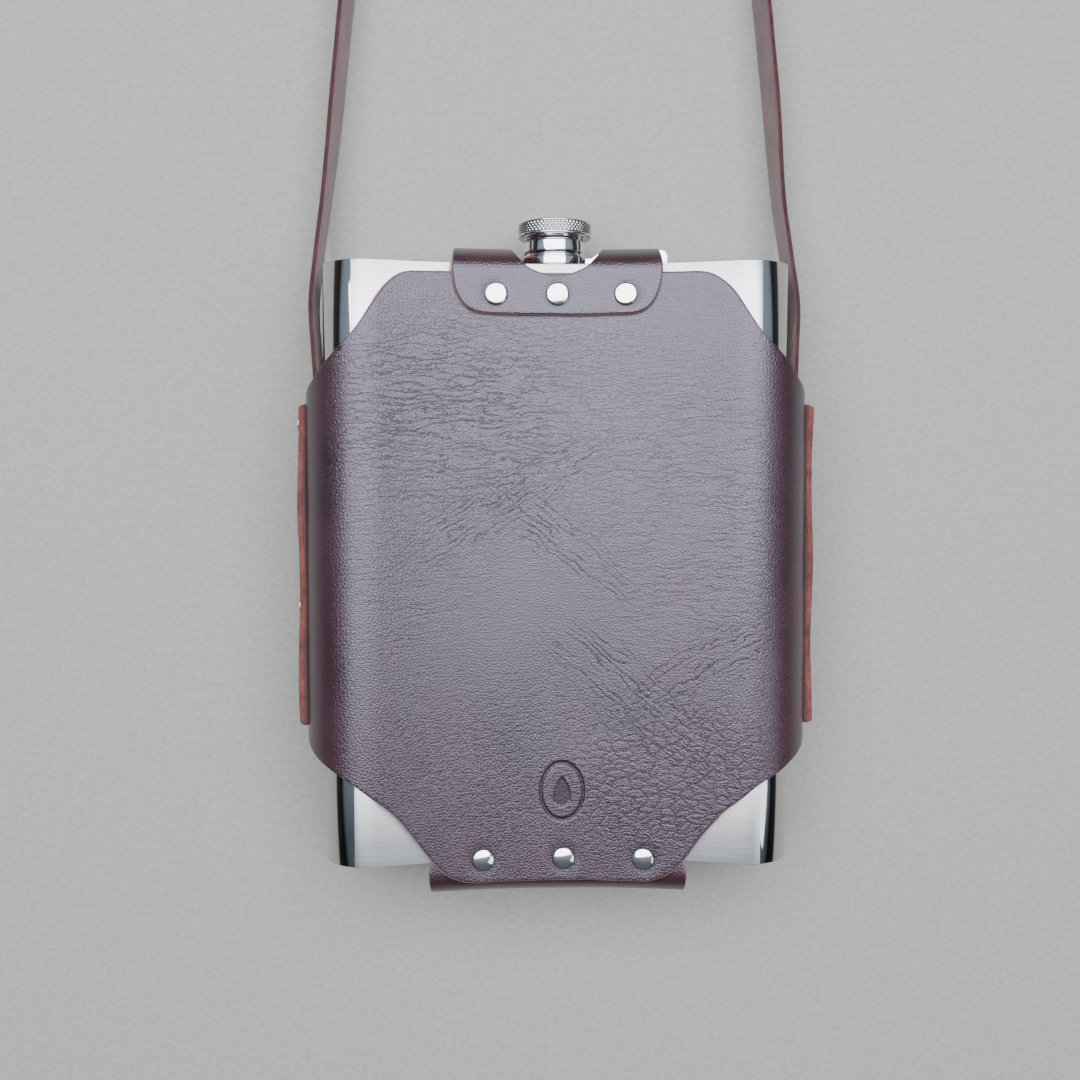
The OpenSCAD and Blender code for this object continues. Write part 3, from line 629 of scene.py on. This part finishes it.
def brushed_steel(name, colour, line):
    """304 stainless sheet drawn through a belt: fine level scratches, which spread its shine up and down.

    Real scratches lie near 0.05 mm apart; they are drawn line mm apart, about ten times as coarse.
    """
    material, tree = new_material(name, colour)
    where = add_node(tree, "TexCoord").outputs["Object"]
    streak = 0.0
    for long, short, seed in ((60, line, 0.0), (24, line * 0.45, 3.0)):
        moved = add_node(tree, "Mapping", {
            "Vector": where, "Location": (seed, seed, seed),
            "Scale": (1 / (long * MM), 1 / (short * MM), 1 / (long * MM))})
        scratch = add_node(tree, "TexNoise", {"Vector": moved, "Scale": 1.0, "Detail": 3.0, "Roughness": 0.6})
        streak = add_node(tree, "Math", {0: scratch, 1: 0.5, 2: streak}, operation="MULTIPLY_ADD")
    cloud = add_node(tree, "TexNoise", {"Vector": where, "Scale": 22.0, "Detail": 3.0})
    share = add_node(tree, "MapRange", {0: streak, 1: 0.35, 2: 0.65, 3: 0.0, 4: 0.35})
    tone = add_node(tree, "MixRGB", {"Fac": share, "Color1": colour, "Color2": linear("#b9b8b4")})
    matt = add_node(tree, "MapRange", {0: streak, 1: 0.3, 2: 0.7, 3: 0.26, 4: 0.40})
    rough = add_node(tree, "Math", {0: cloud, 1: 0.08, 2: matt}, operation="MULTIPLY_ADD")
    bump = add_node(tree, "Bump", {"Strength": 0.25, "Distance": 0.02 * MM, "Height": streak})
    # The grooves run level, along the radial tangent; a quarter turn spreads the shine across them
    level = add_node(tree, "Tangent", direction_type="RADIAL", axis="Y")
    shader = add_node(tree, "BsdfPrincipled", {
        "Base Color": tone, "Metallic": 1.0, "Roughness": rough, "Normal": bump, "Anisotropic": 0.7,
        "Anisotropic Rotation": 0.25, "Tangent": level})
    add_node(tree, "OutputMaterial", {"Surface": shader})
    return material


def polished_metal(name, colour, rough, smear, grit):
    """Buffed or plated metal: a mirror with slow ripples, faint smears, and painted shade in its grooves."""
    material, tree = new_material(name, colour)
    where = add_node(tree, "TexCoord").outputs["Object"]
    ripple = add_node(tree, "TexNoise", {"Vector": where, "Scale": 1 / (14 * MM), "Detail": 1.0})
    marks = add_node(tree, "TexNoise",
        {"Vector": where, "Scale": 1 / (grit * MM), "Detail": 4.0, "Roughness": 0.7})
    hazy = add_node(tree, "MapRange", {0: marks, 1: 0.42, 2: 0.72, 3: rough, 4: rough + smear})
    share = add_node(tree, "MapRange", {0: marks, 1: 0.4, 2: 0.75, 3: 0.0, 4: 0.3})
    clean = add_node(tree, "MixRGB", {"Fac": share, "Color1": colour, "Color2": linear("#a5a4a2")})
    # Painted shade: the colour darkens towards #2b2c2f where the pressed mark says a point lies down in the
    # knurl's grooves.
    pressed = add_node(tree, "Attribute", attribute_name="pressed").outputs["Fac"]
    sunk = add_node(tree, "MapRange", {0: pressed, 1: 0.35, 2: 1.0, 3: 0.0, 4: 0.85})
    tone = add_node(tree, "MixRGB", {"Fac": sunk, "Color1": clean, "Color2": linear("#2b2c2f")})
    bump = add_node(tree, "Bump", {"Strength": 0.2, "Distance": 0.03 * MM, "Height": ripple})
    shader = add_node(tree, "BsdfPrincipled",
        {"Base Color": tone, "Metallic": 1.0, "Roughness": hazy, "Normal": bump})
    add_node(tree, "OutputMaterial", {"Surface": shader})
    return material


def moulded_polythene(name, colour):
    """Low-density polythene, moulded: milky, slightly waxy, with the faint bloom of its mould."""
    material, tree = new_material(name, colour)
    where = add_node(tree, "TexCoord").outputs["Object"]
    bloom = add_node(tree, "TexNoise", {"Vector": where, "Scale": 1 / (1.2 * MM), "Detail": 3.0})
    tone = add_node(tree, "MixRGB", {"Fac": bloom, "Color1": colour, "Color2": linear("#d9d8d0")})
    wax = add_node(tree, "MapRange", {0: bloom, 1: 0.3, 2: 0.7, 3: 0.38, 4: 0.5})
    bump = add_node(tree, "Bump", {"Strength": 0.2, "Distance": 0.05 * MM, "Height": bloom})
    shader = add_node(tree, "BsdfPrincipled", {
        "Base Color": tone, "Roughness": wax, "Normal": bump, "IOR": 1.51, "Subsurface Weight": 0.1})
    add_node(tree, "OutputMaterial", {"Surface": shader})
    return material


def honed_floor(name, colour):
    """A plain pale honed floor, with only the faintest fleck."""
    material, tree = new_material(name, colour)
    where = add_node(tree, "TexCoord").outputs["Object"]
    fleck = add_node(tree, "TexNoise",
        {"Vector": where, "Scale": 1 / (2.2 * MM), "Detail": 5.0, "Roughness": 0.75})
    share = add_node(tree, "MapRange", {0: fleck, 1: 0.35, 2: 0.65})
    tone = add_node(tree, "MixRGB", {"Fac": share, "Color1": linear("#85827b"), "Color2": colour})
    bump = add_node(tree, "Bump", {"Strength": 0.15, "Distance": 0.2 * MM, "Height": fleck})
    shader = add_node(tree, "BsdfPrincipled", {"Base Color": tone, "Roughness": 0.85, "Normal": bump})
    add_node(tree, "OutputMaterial", {"Surface": shader})
    return material


def finishes():
    """The object's finishes by name, made once."""
    if not finishes.made:
        panel, steel = bpy.context.scene.flask_panels, bpy.context.scene.flask_steel
        thick = (panel.edge_colour, "#3a1c1a", panel.flesh_colour, "#5c3431")
        thin = (linear("#4a2826"), "#1c0d0f", linear("#6e4643"), "#4a2a2a")
        # Each leather has a grain side, a raw edge and a flesh side, in the order of a piece's face kinds
        for key, stem, end, worn, folds, (edge, deep_edge, flesh, deep_flesh) in (
                ("panel", "cowhide", "", "#3c1f26", PANEL_CREASES, thick),
                ("back", "cowhide", "_back", "#3e1e20", PLAIN_CREASES, thick),
                ("strap", "strap", "", "#3e1e20", PLAIN_CREASES[1:], thin)):
            finishes.made[key] = [grain_leather(stem + "_grain" + end, panel.grain_colour, worn, folds),
                                  raw_leather(stem + "_raw_edge" + end, edge, deep_edge, 0.7, 6),
                                  raw_leather(stem + "_flesh" + end, flesh, deep_flesh, 0.5, 9)]
        finishes.made.update({
            "brushed": brushed_steel("belt_brushed_stainless", steel.colour, steel.brush / MM),
            # The buffed finish's colour carries painted shade for the floor that the sides reflect.
            "polished": polished_metal("buffed_stainless", steel.buffed_colour, 0.05, 0.05, 5),
            "plate": brushed_steel("satin_stainless", linear("#cfcecb"), 0.35),
            "chrome": polished_metal("bright_chrome_plate", linear("#e6e6e6"), 0.04, 0.05, 3),
            "nickel": polished_metal("nickel_plate", linear("#dedad2"), 0.07, 0.08, 1.6),
            "polythene": moulded_polythene("moulded_polythene", linear("#ecebe4")),
        })
    return finishes.made


finishes.made = {}


# ---- pieces -----------------------------------------------------------------------------------

class StageSetUp(bpy.types.Operator):
    """Lay the floor, hang the soft lights and set the camera over the flask"""
    bl_idname = "flask.stage"
    bl_label = "Stage, lights and camera"

    def execute(self, context):
        sizes = context.scene.flask_stage
        centre = Vector((0, 0.02, 0))
        mesh = bpy.data.meshes.new("floor")
        far, low = 3.0, -0.0002
        corners = [(-far, -far, low), (far, -far, low), (far, far, low), (-far, far, low)]
        mesh.from_pydata(corners, [], [(0, 1, 2, 3)])
        mesh.materials.append(honed_floor("honed_floor", sizes.floor_colour))
        floor = bpy.data.objects.new("floor", mesh)
        context.scene.collection.objects.link(floor)
        world = bpy.data.worlds.new("overcast")
        context.scene.world = world
        world.use_nodes = True
        tree = world.node_tree
        tree.nodes.clear()
        way = add_node(tree, "SeparateXYZ", {0: add_node(tree, "TexCoord").outputs["Generated"]})
        # A dim horizon and a cool sky over it give the buffed sides their bands; the sky past the foot is dim
        fade = add_node(tree, "ValToRGB", {0: way.outputs["Z"]})
        steps = fade.color_ramp.elements
        steps[0].position, steps[0].color = 0.0, linear("#4b4a49")
        steps[1].position, steps[1].color = 1.0, linear("#c3cedc")
        for at, colour in ((0.28, "#2c2d2f"), (0.42, "#93a5ba"), (0.75, "#a9b8cb")):
            steps.new(at).color = linear(colour)
        far_side = add_node(tree, "MapRange", {0: way.outputs["Y"], 1: -0.5, 2: 0.2, 3: 0.35, 4: 1.0})
        sky = add_node(tree, "Background", {"Color": fade, "Strength": far_side})
        add_node(tree, "OutputWorld", {"Surface": sky})
        for name, place, size, power in (
                ("key", (-0.05, 0.39, 1.30), (2.0, 1.25), sizes.key),
                ("fill", (0.9, -0.5, 0.9), (0.6, 0.6), sizes.key * 0.05)):
            lamp = bpy.data.lights.new(name, "AREA")
            lamp.shape, lamp.size, lamp.size_y, lamp.energy = "RECTANGLE", *size, power
            lamp.color = linear("#f2f6ff")[:3]
            holder = bpy.data.objects.new(name, lamp)
            holder.location = place
            holder.rotation_euler = (centre - Vector(place)).to_track_quat("-Z", "Y").to_euler()
            context.scene.collection.objects.link(holder)
        lens = bpy.data.cameras.new("camera")
        lens.sensor_width, lens.lens, lens.clip_start = 36, sizes.focal, 0.01
        camera = bpy.data.objects.new("camera", lens)
        camera.location = (*CAMERA_XY, sizes.camera_height)
        camera.rotation_euler = [math.radians(a) for a in CAMERA_TURN]
        context.scene.collection.objects.link(camera)
        context.scene.camera = camera
        return {"FINISHED"}


class ShoulderStrap(bpy.types.Operator):
    """Lay the flat shoulder strap from one pocket round to the other"""
    bl_idname = "flask.strap"
    bl_label = "Shoulder strap"

    def execute(self, context):
        sizes = context.scene.flask_strap
        route = np.array(STRAP_ROUTE, float)
        padded = np.concatenate([route[:1], route, route[-1:]])
        u = np.linspace(0, len(route) - 1, 12 * (len(route) - 1) + 1)
        i = np.minimum(u.astype(int), len(route) - 2)
        t = (u - i)[:, None]
        a, b, c, d = (padded[i + k] for k in range(4))
        # The smooth curve through the route's points whose slope at each is half the step past it
        bend, twist = 2 * a - 5 * b + 4 * c - d, 3 * b - 3 * c + d - a
        path = 0.5 * (2 * b + (c - a) * t + bend * t ** 2 + twist * t ** 3)
        way = np.gradient(path, axis=0)
        across = np.stack([way[:, 1], -way[:, 0], 0 * way[:, 0]], 1)
        across /= np.linalg.norm(across, axis=1, keepdims=True)
        travelled = np.concatenate([[0], np.cumsum(np.linalg.norm(np.diff(path, axis=0), axis=1))])
        # Section: a flat bar with rounded edges; the flesh side is at +1 across, the grain side at -1
        half_t, half_w, soft = sizes.thickness / MM / 2, sizes.width / MM / 2, 0.55
        corner = np.radians(np.linspace(0, 90, 4))
        quarter = np.stack([half_t - soft + soft * np.cos(corner), half_w - soft + soft * np.sin(corner)], 1)
        rows = np.linspace(-half_w + soft, half_w - soft, 9)[1:-1]
        right = np.concatenate([[[half_t, y] for y in rows], quarter])
        left = (quarter * (-1, 1))[::-1]
        down = [[-half_t, y] for y in rows[::-1]]
        under = quarter * (-1, -1)
        back = (quarter * (1, -1))[::-1]
        section = np.concatenate([right, left, down, under, back])
        k = len(section)
        # Beyond the shoulder the upper edge leans outwards
        lean = -0.1 * smooth((path[:, 1] - 140) / 60)[:, None] * section[None, :, 1]
        ripple = lean + 0.12 * np.sin(travelled / 9)[:, None] * np.sin(section[:, 1] * 0.3 + 1)[None, :]
        out = section[None, :, :1] + ripple[:, :, None]
        points = path[:, None] + across[:, None] * out + np.array([0, 0, 1.0]) * section[None, :, 1:]
        n = len(path)
        points = points.reshape(-1, 3)
        points = np.concatenate([points, path[:1], path[-1:]])
        ring = np.arange(k)
        after = (ring + 1) % k
        start = np.stack([np.full(k, n * k), after, ring], 1)
        end = np.stack([np.full(k, n * k + 1), (n - 1) * k + ring, (n - 1) * k + after], 1)
        quads = grid_faces(n, k, wrap=True)
        middle = (section[:, 0] + np.roll(section[:, 0], -1)) / 2
        kind = np.where(middle > half_t - 0.3, 2, np.where(middle < -half_t + 0.3, 0, 1))
        flat = np.concatenate([np.stack([np.repeat(travelled, k), np.tile(section[:, 1], n)], 1),
            [[0, 0], [travelled[-1], 0]]])
        made = finishes()["strap"]
        piece = make_piece("sling_strap", points, [quads, start, end],
                           [np.tile(kind, n - 1), np.ones(k), np.ones(k)], flat,
                           {"pressed": np.zeros(len(points))}, made)
        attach(piece, "flask")
        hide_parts("shoulder_strap")
        return {"FINISHED"}


class FlaskWrap(bpy.types.Operator):
    """Roll the flask's one-piece steel wrap"""
    bl_idname = "flask.wrap"
    bl_label = "Steel wrap"

    def execute(self, context):
        half = np.arange(len(LINE))
        twin = half[::-1][1:-1]
        flip = np.array([-1, 1])
        line = np.concatenate([LINE, LINE[twin] * flip])
        normal = np.concatenate([NORMALS, NORMALS[twin] * flip])
        step = np.linalg.norm(line - np.roll(line, 1, 0), axis=1)
        line, normal = line[step > 1e-6], normal[step > 1e-6]
        count = len(line)
        # Rows go up the outside, over a rounded lip, and down the inside
        ys = np.linspace(FOOT_Y + 0.3, SHOULDER_Y - 0.3, 9)
        lip = np.radians(np.linspace(90, -90, 5))[1:-1]
        profile = [(y, 0) for y in ys]
        profile += [(SHOULDER_Y - 0.3 + 0.3 * math.cos(a), (math.sin(a) - 1) * SHEET / 2) for a in lip]
        profile += [(y, -SHEET) for y in ys[::-1]]
        profile += [(FOOT_Y + 0.3 - 0.3 * math.cos(a), -(math.sin(a) + 1) * SHEET / 2) for a in lip]
        profile = np.array(profile)
        points = np.stack([line[None, :, 0] + normal[None, :, 0] * profile[:, 1:],
                           np.broadcast_to(profile[:, :1], (len(profile), count)),
                           line[None, :, 1] + normal[None, :, 1] * profile[:, 1:]], -1).reshape(-1, 3)
        quads = grid_faces(len(profile), count, wrap=True)
        last = (len(profile) - 1) * count
        ring = np.arange(count)
        after = (ring + 1) % count
        close = np.stack([last + ring, last + after, after, ring], 1)
        # The rounded sides are buffed from 20 degrees past the ridge to the same place on the back
        angle = np.degrees(np.arctan2(normal[:, 1], np.abs(normal[:, 0])))
        buffed = (np.abs(line[:, 0]) > 76) & (angle < 77) & (angle > -62)
        buffed = buffed & np.roll(buffed, -1)
        kinds = [np.tile(buffed, len(profile) - 1).astype(int), buffed.astype(int)]
        made = finishes()
        piece = make_piece("steel_shell", points, [quads, close], kinds,
            materials=[made["brushed"], made["polished"]])
        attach(piece, "flask")
        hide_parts("flask_wrap")
        return {"FINISHED"}


def drop_in_oval(s, l):
    """Depth of a generic mark pressed near the foot: an oval line round a water drop.

    Distances are taken to an ellipse's edge, and to a circle drawn out to a point at its top.
    """
    x, y = s - 1.7, l + 94.3
    oval = np.abs(np.hypot(x / 8.6, y / 11.6) - 1) * 10
    line = smooth((1.05 - oval) / 0.7)
    reach = np.clip((y + 2.2) / 8.4, 0, 1)
    wide = np.where(y > -2.2, 4.2 * (1 - reach) ** 0.8 * (1 + 0.5 * reach),
        np.sqrt(np.clip(4.2 ** 2 - (y + 2.2) ** 2, 0, None)))
    drop = smooth((wide - np.abs(x)) / 1.1) * smooth((y + 6.9) / 0.8) * smooth((6.6 - y) / 0.8)
    return 0.5 * np.maximum(line, 0.8 * drop)


def rivet_dents(s, l, xs, y):
    """The leather sinks round each rivet cap by a bell curve of its distance from the cap's edge."""
    far = np.hypot(s[:, None] - np.array(xs)[None], (l - y)[:, None]).min(1)
    return 0.28 * np.exp(-(np.maximum(far - 4.3, 0) / 1.6) ** 2)


class FrontPanel(bpy.types.Operator):
    """Cut the front panel with its two wings and bend it round the flask"""
    bl_idname = "flask.front_panel"
    bl_label = "Front panel"

    def execute(self, context):
        sizes = context.scene.flask_panels
        thickness = sizes.thickness / MM
        layer, reach = panel_layer(thickness)
        upper = [(57, 114.5), (61, 113.8), (65, 111.5), (69, 107.5), (81, 89.5), (95.5, 73.5), (100, 68)]
        lower = [(100, -76), (95, -81), (80.6, -90.2), (67, -100.8), (59, -110.5), (52, -120.8), (46, -127.5),
            (41, -130.4), (36, -131.4)]
        wing_end = [(reach, 66.3), (reach, -73)]
        right = [(layer.s_of_x(x), y) for x, y in upper] + wing_end + [(layer.s_of_x(x), y) for x, y in lower]
        loop = rounded_loop([(s, y) for s, y in right[::-1]] + [(-s, y) for s, y in right], 1.5, 4)
        loop = hand_cut(loop, sizes.wander / MM)

        def place(s, l, depth):
            x, z, nx, nz = layer.at(s)
            calm = smooth((92 - np.abs(l)) / 25) * smooth((78 - np.abs(x)) / 25)
            wave = 0.16 * np.sin(s / 17 + 0.5) * np.sin(l / 23 + 1.0) + 0.1 * np.sin(s / 7.5 + l / 31) - 0.12
            off = thickness / 2 - depth + wave * calm
            return np.stack([x + nx * off, l, z + nz * off], 1)

        def dent(s, l):
            xs, y, _ = RIVET_ROWS["tail_rivet_caps"]
            return drop_in_oval(s, l) + rivet_dents(s, l, xs, y)

        piece = leather_piece("front_leather", loop, sizes.spacing / MM, place, thickness,
            finishes()["panel"], dent, fine=((-10, -108), (13.5, -80)))
        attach(piece, "flask")
        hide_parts("front_panel")
        return {"FINISHED"}


class BackPanel(bpy.types.Operator):
    """Cut the back panel with its collar, tail and side flaps, and fold it round the flask"""
    bl_idname = "flask.back_panel"
    bl_label = "Back panel"

    def execute(self, context):
        sizes = context.scene.flask_panels
        thickness = sizes.thickness / MM
        layer = back_layer(thickness)
        reach = layer.s[-1]
        half = thickness / 2
        collar = Fold((COLLAR_Y, 129.4, 128.6, 115), OVER_IN + half, 1)
        tail = Fold((TAIL_Y, -138.8, -144.6, -127), TAIL_IN + half, -1)

        def up(y):
            return COLLAR_Y + collar.far_of_y(y, True)

        def low(y):
            return TAIL_Y - tail.far_of_y(y, True)

        # Flat outline, anticlockwise from the tail's tip; the arm's slot runs in from the collar's right edge
        tail_tip = [(42.5, low(-110)), (47.5, low(-117)), (51.5, low(-124)), (52.5, low(-127)), (52.5, -124)]
        body = [(52.5, -116), (56.5, -110), (84, -72.2), (90, -69.2)]
        body = [(layer.s_of_x(x), y) for x, y in body] + [(reach, -69.2), (reach, 62.7)]
        body += [(layer.s_of_x(x), y) for x, y in ((90, 62.7), (84, 65.7), (45, 106), (42, 112))]
        body += [(42, 119)]
        collar_tip = [(42, up(115)), (41.6, up(110)), (40.2, up(105.5)), (38, up(101.5)), (35.2, up(98.8)),
            (31.5, up(97.3)), (27, up(96.8))]
        slot = [COLLAR_Y + collar.far_of_z(z, 30) for z in (16.9, 33.4)]
        turn = np.radians(np.linspace(0, 71, 30))
        hole_x, hole_y = 20 * np.sin(turn), 133.2 - 20 * np.cos(turn)
        back_side = np.stack([hole_x, COLLAR_Y + collar.far_of_y(hole_y, False)], 1)
        front_side = np.stack([hole_x, COLLAR_Y + collar.far_of_y(hole_y, True)], 1)
        near = back_side[back_side[:, 1] < slot[0]]
        hole = np.concatenate([near[::-1], back_side[1:] * (-1, 1), front_side[::-1] * (-1, 1),
            front_side[1:][front_side[1:, 1] > slot[1]]])
        right = tail_tip + body
        loop = right + [(42, slot[0])] + [tuple(p) for p in hole] + [(42, slot[1])] + collar_tip
        loop += [(-x, y) for x, y in (right + collar_tip)[::-1]]
        loop = rounded_loop(loop, 1.25, 3)
        loop = hand_cut(loop, 1.4 * sizes.wander / MM)

        def place(s, l, depth):
            x, z, nx, nz = layer.at(s)
            off = half - depth
            # The flaps' free edges lift and fall a little between their rivets
            lift = 0.45 * np.sin(l / 11 + 0.6 + np.sign(s)) * smooth((np.abs(s) - reach + 12) / 12)
            points = np.stack([x + nx * (off + lift), l, z + nz * (off + lift)], 1)
            for fold, start in ((collar, COLLAR_Y), (tail, TAIL_Y)):
                far = (l - start) * fold.end
                on = far > 0
                y, fz, ny, fnz = fold.place(far[on], z[on], x[on])
                points[on] = np.stack([x[on], y + ny * off[on], fz + fnz * off[on]], 1)
            return points

        def dent(s, l):
            xs, y, _ = RIVET_ROWS["collar_rivet_caps"]
            return rivet_dents(s, l, xs, up(y))

        piece = leather_piece("back_leather", loop, sizes.spacing / MM, place, thickness, finishes()["back"],
            dent)
        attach(piece, "flask")
        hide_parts("back_panel")
        return {"FINISHED"}


class CapAndBarrel(bpy.types.Operator):
    """Turn the cap's knurled head and its polished barrel"""
    bl_idname = "flask.cap"
    bl_label = "Screw cap"

    def execute(self, context):
        sizes = context.scene.flask_steel
        made = finishes()
        low, high, radius = 14.35, 20.45, 15.5
        pitch = 1.9

        def knurl(angle, height):
            """Pyramids: the lesser of two saw-tooth waves that wind round in opposite ways."""
            around, along = angle * sizes.knurl_count / (2 * np.pi), height / pitch
            waves = [np.abs(((around + side * along) % 1) * 2 - 1) for side in (1, -1)]
            band = smooth((height - low - 0.75) / 0.35) * smooth((high - 0.7 - height) / 0.35)
            return (np.minimum(*waves) - 1) * sizes.knurl_depth / MM * band

        side = np.linspace(low + 0.5, high - 0.6, 30)
        head = [(0, 14.0), (12.3, 14.0), (12.36, 14.5), (13.2, 14.42), (14.4, low), (15.0, low),
            (15.35, low + 0.15)]
        head += [(radius, h) for h in side]
        head += [(15.35, high - 0.3), (15.0, high - 0.1), (14.6, high), (10, high), (5, high),
            (0, high)]
        points, faces = turned(head, 8 * sizes.knurl_count, knurl)
        # How far each point lies down in the knurl's grooves; the chrome finish darkens there as painted
        # shade.
        sunk = (radius - np.hypot(points[:, 0], points[:, 1])) / (sizes.knurl_depth / MM)
        sunk = np.clip(sunk, 0, 1) * (points[:, 2] > low + 0.8) * (points[:, 2] < high - 0.8)
        piece = make_piece("knurled_head", on_neck(points), faces, marks={"pressed": sunk},
            materials=[made["chrome"]])
        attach(piece, "cap")
        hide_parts("cap_head")
        barrel = [(0, 14.15), (11.2, 14.15), (11.2, 0.45), (11.3, 0.35), (11.6, 0.35), (11.65, 0.4),
                  (11.65, 1.65), (12.0, 1.65), (12.05, 1.7), (12.05, 5.4), (12.1, 5.45), (12.6, 5.45),
                  (12.85, 5.55), (12.95, 5.8), (12.95, 6.6), (12.82, 6.72), (12.82, 6.9), (12.95, 7.02),
                  (12.95, 9.0), (12.95, 12.0), (12.9, 12.2), (12.35, 12.55), (12.3, 12.7), (12.3, 15.3),
                  (12.2, 15.4), (0, 15.4)]
        points, faces = turned(barrel, 160)
        piece = make_piece("polished_barrel", on_neck(points), faces, materials=[made["chrome"]])
        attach(piece, "cap")
        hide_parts("cap_barrel")
        return {"FINISHED"}


class RivetCaps(bpy.types.Operator):
    """Set the domed nickel caps of all fourteen rivets"""
    bl_idname = "flask.rivets"
    bl_label = "Rivet caps"

    def execute(self, context):
        made = finishes()

        def cap(crown):
            profile = [(0, 0.05), (3.9, 0.05), (4.35, 0.1), (4.5, 0.3), (4.42, 0.5), (4.25, 0.66)]
            over = np.linspace(4.1, 0, 9)
            profile += [(r, 0.72 + (crown - 0.72) * (1 - (r / 4.25) ** 2)) for r in over]
            return turned(profile, 48)

        def join(name, sets, slot_body):
            """Copies of the cap, each carried to its own place by three axes and an origin."""
            points, faces = [], []
            for crown, origin, axes in sets:
                local, tri = cap(crown)
                start = sum(len(p) for p in points)
                points.append(np.asarray(origin) + local @ np.asarray(axes))
                faces.append([f + start for f in tri])
            merged = [np.concatenate([f[k] for f in faces]) for k in range(3)]
            piece = make_piece(name + "_domes", np.concatenate(points), merged, materials=[made["nickel"]])
            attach(piece, slot_body)
            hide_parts(name)

        for name, (xs, y, level) in RIVET_ROWS.items():
            sets = []
            for k, x in enumerate(xs):
                lean = math.asin(x / FRONT_R)
                # The middle collar rivet was struck slightly askew
                tip = math.radians(3.0) if name.startswith("collar") and k == 1 else 0.0
                normal = np.array([-math.sin(lean), -math.sin(tip), math.cos(lean) * math.cos(tip)])
                normal /= np.linalg.norm(normal)
                side = np.cross([0, 1, 0], normal)
                side /= np.linalg.norm(side)
                out = np.array([-math.sin(lean), 0, math.cos(lean)])
                origin = np.array([x, y, front_at(x)]) + out * level
                crown = 1.15 if name.startswith("collar") else 1.5
                sets.append((crown, origin, [side, np.cross(normal, side), normal]))
            join(name, sets, "flask")
        for name, side in SIDE_RIVETS.items():
            axes = [[0, 0, -side], [0, 1, 0], [side, 0, 0]]
            x = side * (SIDE_X + SIDE_RIVET_GAP)
            join(name, [(1.4, (x, y, SIDE_RIVET_Z), axes) for y in SIDE_RIVET_Y], "flask")
        return {"FINISHED"}


class FrameFinishes(bpy.types.Operator):
    """Give the plates, neck, arm, hinge, washer, liner and rivet posts their finishes"""
    bl_idname = "flask.finishes"
    bl_label = "Finishes of the turned and pressed parts"

    def execute(self, context):
        made = finishes()
        chosen = {
            "top_plate": "plate", "bottom_plate": "plate", "neck": "polished", "hinge_bracket": "polished",
            "hinge_pin": "chrome", "captive_arm": "chrome", "retaining_washer": "plate",
            "cap_liner": "polythene", "collar_rivet_posts": "nickel", "tail_rivet_posts": "nickel",
            "left_rivet_posts": "nickel", "right_rivet_posts": "nickel"}
        for node, finish in chosen.items():
            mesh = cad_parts[node].data
            mesh.materials.clear()
            mesh.materials.append(made[finish])
        return {"FINISHED"}


class FlaskPanel(bpy.types.Panel):
    """Lists the pieces of the slung flask"""
    bl_idname = "VIEW3D_PT_hip_flask"
    bl_label = "Hip flask"
    bl_space_type = "VIEW_3D"
    bl_region_type = "UI"
    bl_category = "Hip flask"

    def draw(self, context):
        for name in GROUPS:
            group = getattr(context.scene, name)
            box = self.layout.box()
            for key in group.__annotations__:
                box.prop(group, key)
        for step in STEPS:
            self.layout.operator(step.bl_idname)


STEPS = (StageSetUp, ShoulderStrap, FlaskWrap, FrontPanel, BackPanel, CapAndBarrel, RivetCaps, FrameFinishes)
GROUPS = {"flask_panels": PanelSizes, "flask_strap": StrapSizes, "flask_steel": SteelSizes,
    "flask_stage": StageSizes}


def register():
    for group in (*GROUPS.values(), *STEPS, FlaskPanel):
        bpy.utils.register_class(group)
    for name, group in GROUPS.items():
        setattr(bpy.types.Scene, name, bpy.props.PointerProperty(type=group))


def unregister():
    for name in GROUPS:
        delattr(bpy.types.Scene, name)
    for group in (FlaskPanel, *STEPS[::-1], *GROUPS.values()):
        bpy.utils.unregister_class(group)


def main():
    register()
    bpy.ops.flask.stage()
    bpy.ops.flask.strap()
    bpy.ops.flask.wrap()
    bpy.ops.flask.front_panel()
    bpy.ops.flask.back_panel()
    bpy.ops.flask.cap()
    bpy.ops.flask.rivets()
    bpy.ops.flask.finishes()


if __name__ == "__main__":
    main()
